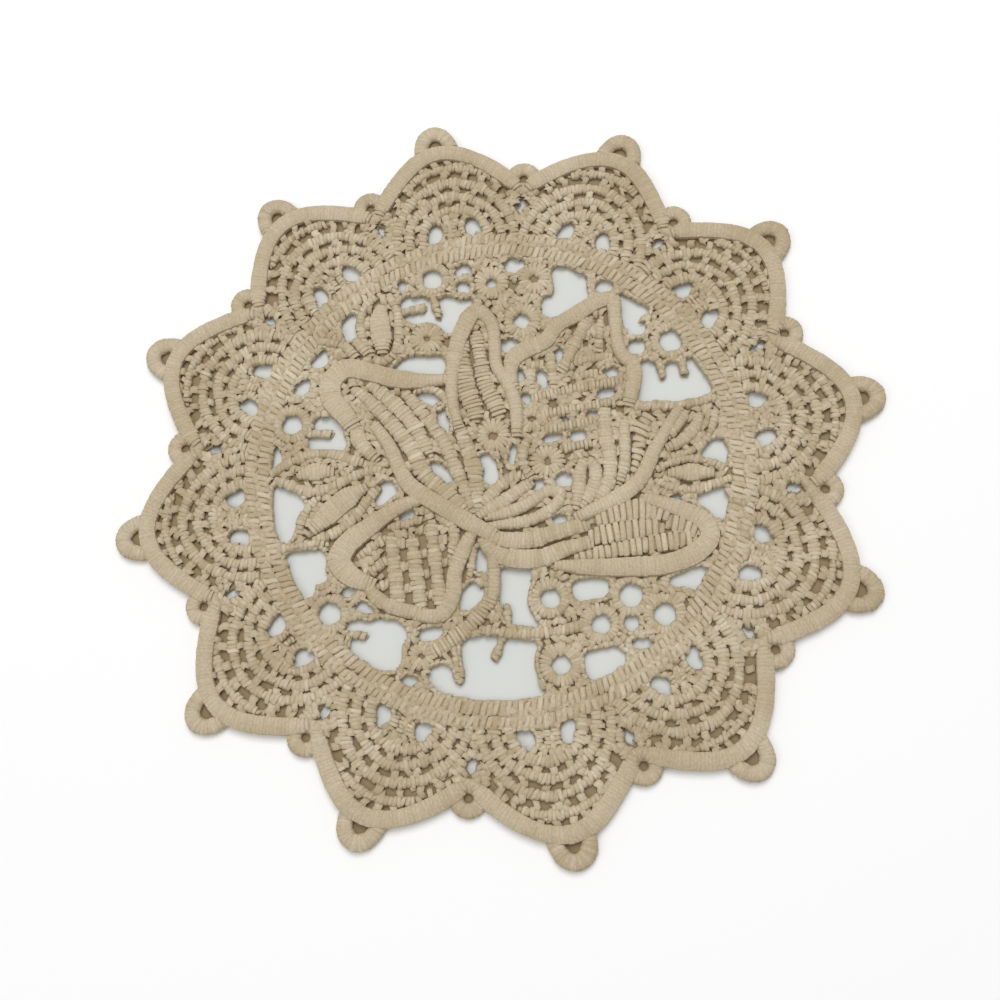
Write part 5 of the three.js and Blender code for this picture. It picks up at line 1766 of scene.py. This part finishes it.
@dataclass(frozen=True)
class Studio:
    """The table, the light and the camera.

    Attributes:
        spot: where the camera stands, in millimetres.
        aim: the point on the table that it looks at.
        roll: how far it is turned about its view, in degrees.
        lens: its focal length, in millimetres.
        sensor: the width of its sensor, in millimetres.
        near: the least distance that it sees, in metres.
        table_size: the length of the table's sides, in metres.
        table_pale: the table's colour.
        table_shaded: its painted shade under the coaster.
        table_shade: the distances from the middle between which that painted shade gives way, in metres.
        table_rough: how rough the table is.
        lamps: the lamps.
        room: how strong the even light of the room is.
    """

    spot: Place = (3.09, -47.72, 161.539)
    aim: Place = (-0.51, -4.58, 1.0)
    roll: float = -15.388
    lens: float = 43.0947
    sensor: float = 36.0
    near: float = 0.001
    table_size: float = 4.0
    table_pale: Colour = (0.97, 0.97, 0.97, 1)
    table_shaded: Colour = (0.67, 0.685, 0.665, 1)
    table_shade: Pair = (0.042, 0.047)
    table_rough: float = 0.8
    lamps: tuple[Lamp, ...] = (
        Lamp("key", (0.1, 0.38, 0.82), 0.5, 4.45),
        Lamp("fill", (-0.5, -0.2, 0.9), 0.8, 2.5),
    )
    room: float = 0.42

    def camera(self) -> None:
        """Adds the camera."""
        spot = Vector(self.spot) * MM
        ahead = (Vector(self.aim) * MM - spot).normalized()
        right = ahead.cross(Vector((0, 0, 1))).normalized()
        over = right.cross(ahead)
        roll = np.radians(self.roll)
        side = right * np.cos(roll) + over * np.sin(roll)
        up = over * np.cos(roll) - right * np.sin(roll)
        data = bpy.data.cameras.new("camera")
        data.sensor_width = self.sensor
        data.lens = self.lens
        data.clip_start = self.near
        camera = bpy.data.objects.new("camera", data)
        camera.matrix_world = Matrix.Translation(spot) @ Matrix((side, up, -ahead)).transposed().to_4x4()
        bpy.context.scene.collection.objects.link(camera)
        bpy.context.scene.camera = camera

    def table(self) -> None:
        """Adds the pale table top, with a painted shade a little darker under the coaster."""
        bpy.ops.object.select_all(action="DESELECT")
        bpy.ops.mesh.primitive_plane_add(size=self.table_size, location=(0, 0, 0))
        table = bpy.context.object
        table.name = "table"
        material = bpy.data.materials.new("pale_table")
        board = Board(material)
        place = board.node("ShaderNodeTexCoord", {}, {}, "Object")
        far = board.node("ShaderNodeVectorMath", {"operation": "LENGTH"}, {0: place}, "Value")
        # Painted shade: the table is greyer under the coaster, where the lace shades it.
        colour = board.mixed(far.held(*self.table_shade), self.table_shaded, self.table_pale)
        values = {"Base Color": colour, "Roughness": self.table_rough}
        board.finish(board.node("ShaderNodeBsdfPrincipled", {}, values))
        table.data.materials.append(material)

    def light(self) -> None:
        """Adds the lamps and the even light of the room."""
        for lamp in self.lamps:
            lamp.hang()
        world = bpy.data.worlds.new("room")
        bpy.context.scene.world = world
        world.use_nodes = True
        background = world.node_tree.nodes["Background"]
        background.inputs["Color"].default_value = (1, 1, 1, 1)
        background.inputs["Strength"].default_value = self.room
        view = bpy.context.scene.view_settings
        view.view_transform = "Standard"
        view.look = "None"


def main() -> None:
    """Builds the coaster's pieces and the studio."""
    logging.basicConfig(level=logging.INFO, format="%(message)s")
    rng = np.random.default_rng(SEED)
    band = ScallopBand(rng)
    flower = Flower(rng)
    band_sets = [band.edges(), band.arches(), band.ovals(), band.picots()]
    flower_sets = [flower.leaf(name, rows) for name, rows in LEAVES.items()]
    flower_sets.append(flower.eyelets("flower_eyelets", FLOWER_EYELETS, ()))
    flower_sets.append(flower.eyelets("eyelets_and_bars", EYELETS, BARS))
    rims = flower.rims()
    scallop = []
    for threads in band_sets:
        scallop += threads.courses[: len(threads.courses) // SCALLOPS]
    laid = [course for threads in flower_sets for course in threads.courses]
    band_filling = band.filling(scallop)
    ring = flower.ring()
    flower_filling = flower.filling(laid, rims.courses)
    finish = ThreadFinish()
    # A copy of the thread's material with a lighter painted crevice shade.
    lighter_shade_finish = ThreadFinish("beige_thread_lighter_shade", crevice_shade=(0.45, 0.36, 0.22, 1))
    for threads in (*band_sets, band_filling, ring, *flower_sets, rims, flower_filling):
        threads.piece(lighter_shade_finish if threads.name in LIGHTER_SHADE_PIECES else finish)
    ground = Threads("ground", rng)
    band.ground(ground)
    flower.ground(ground)
    base = ground.piece(finish)
    studio = Studio()
    studio.table()
    studio.light()
    studio.camera()
    bpy.context.view_layer.update()


if __name__ == "__main__":
    main()
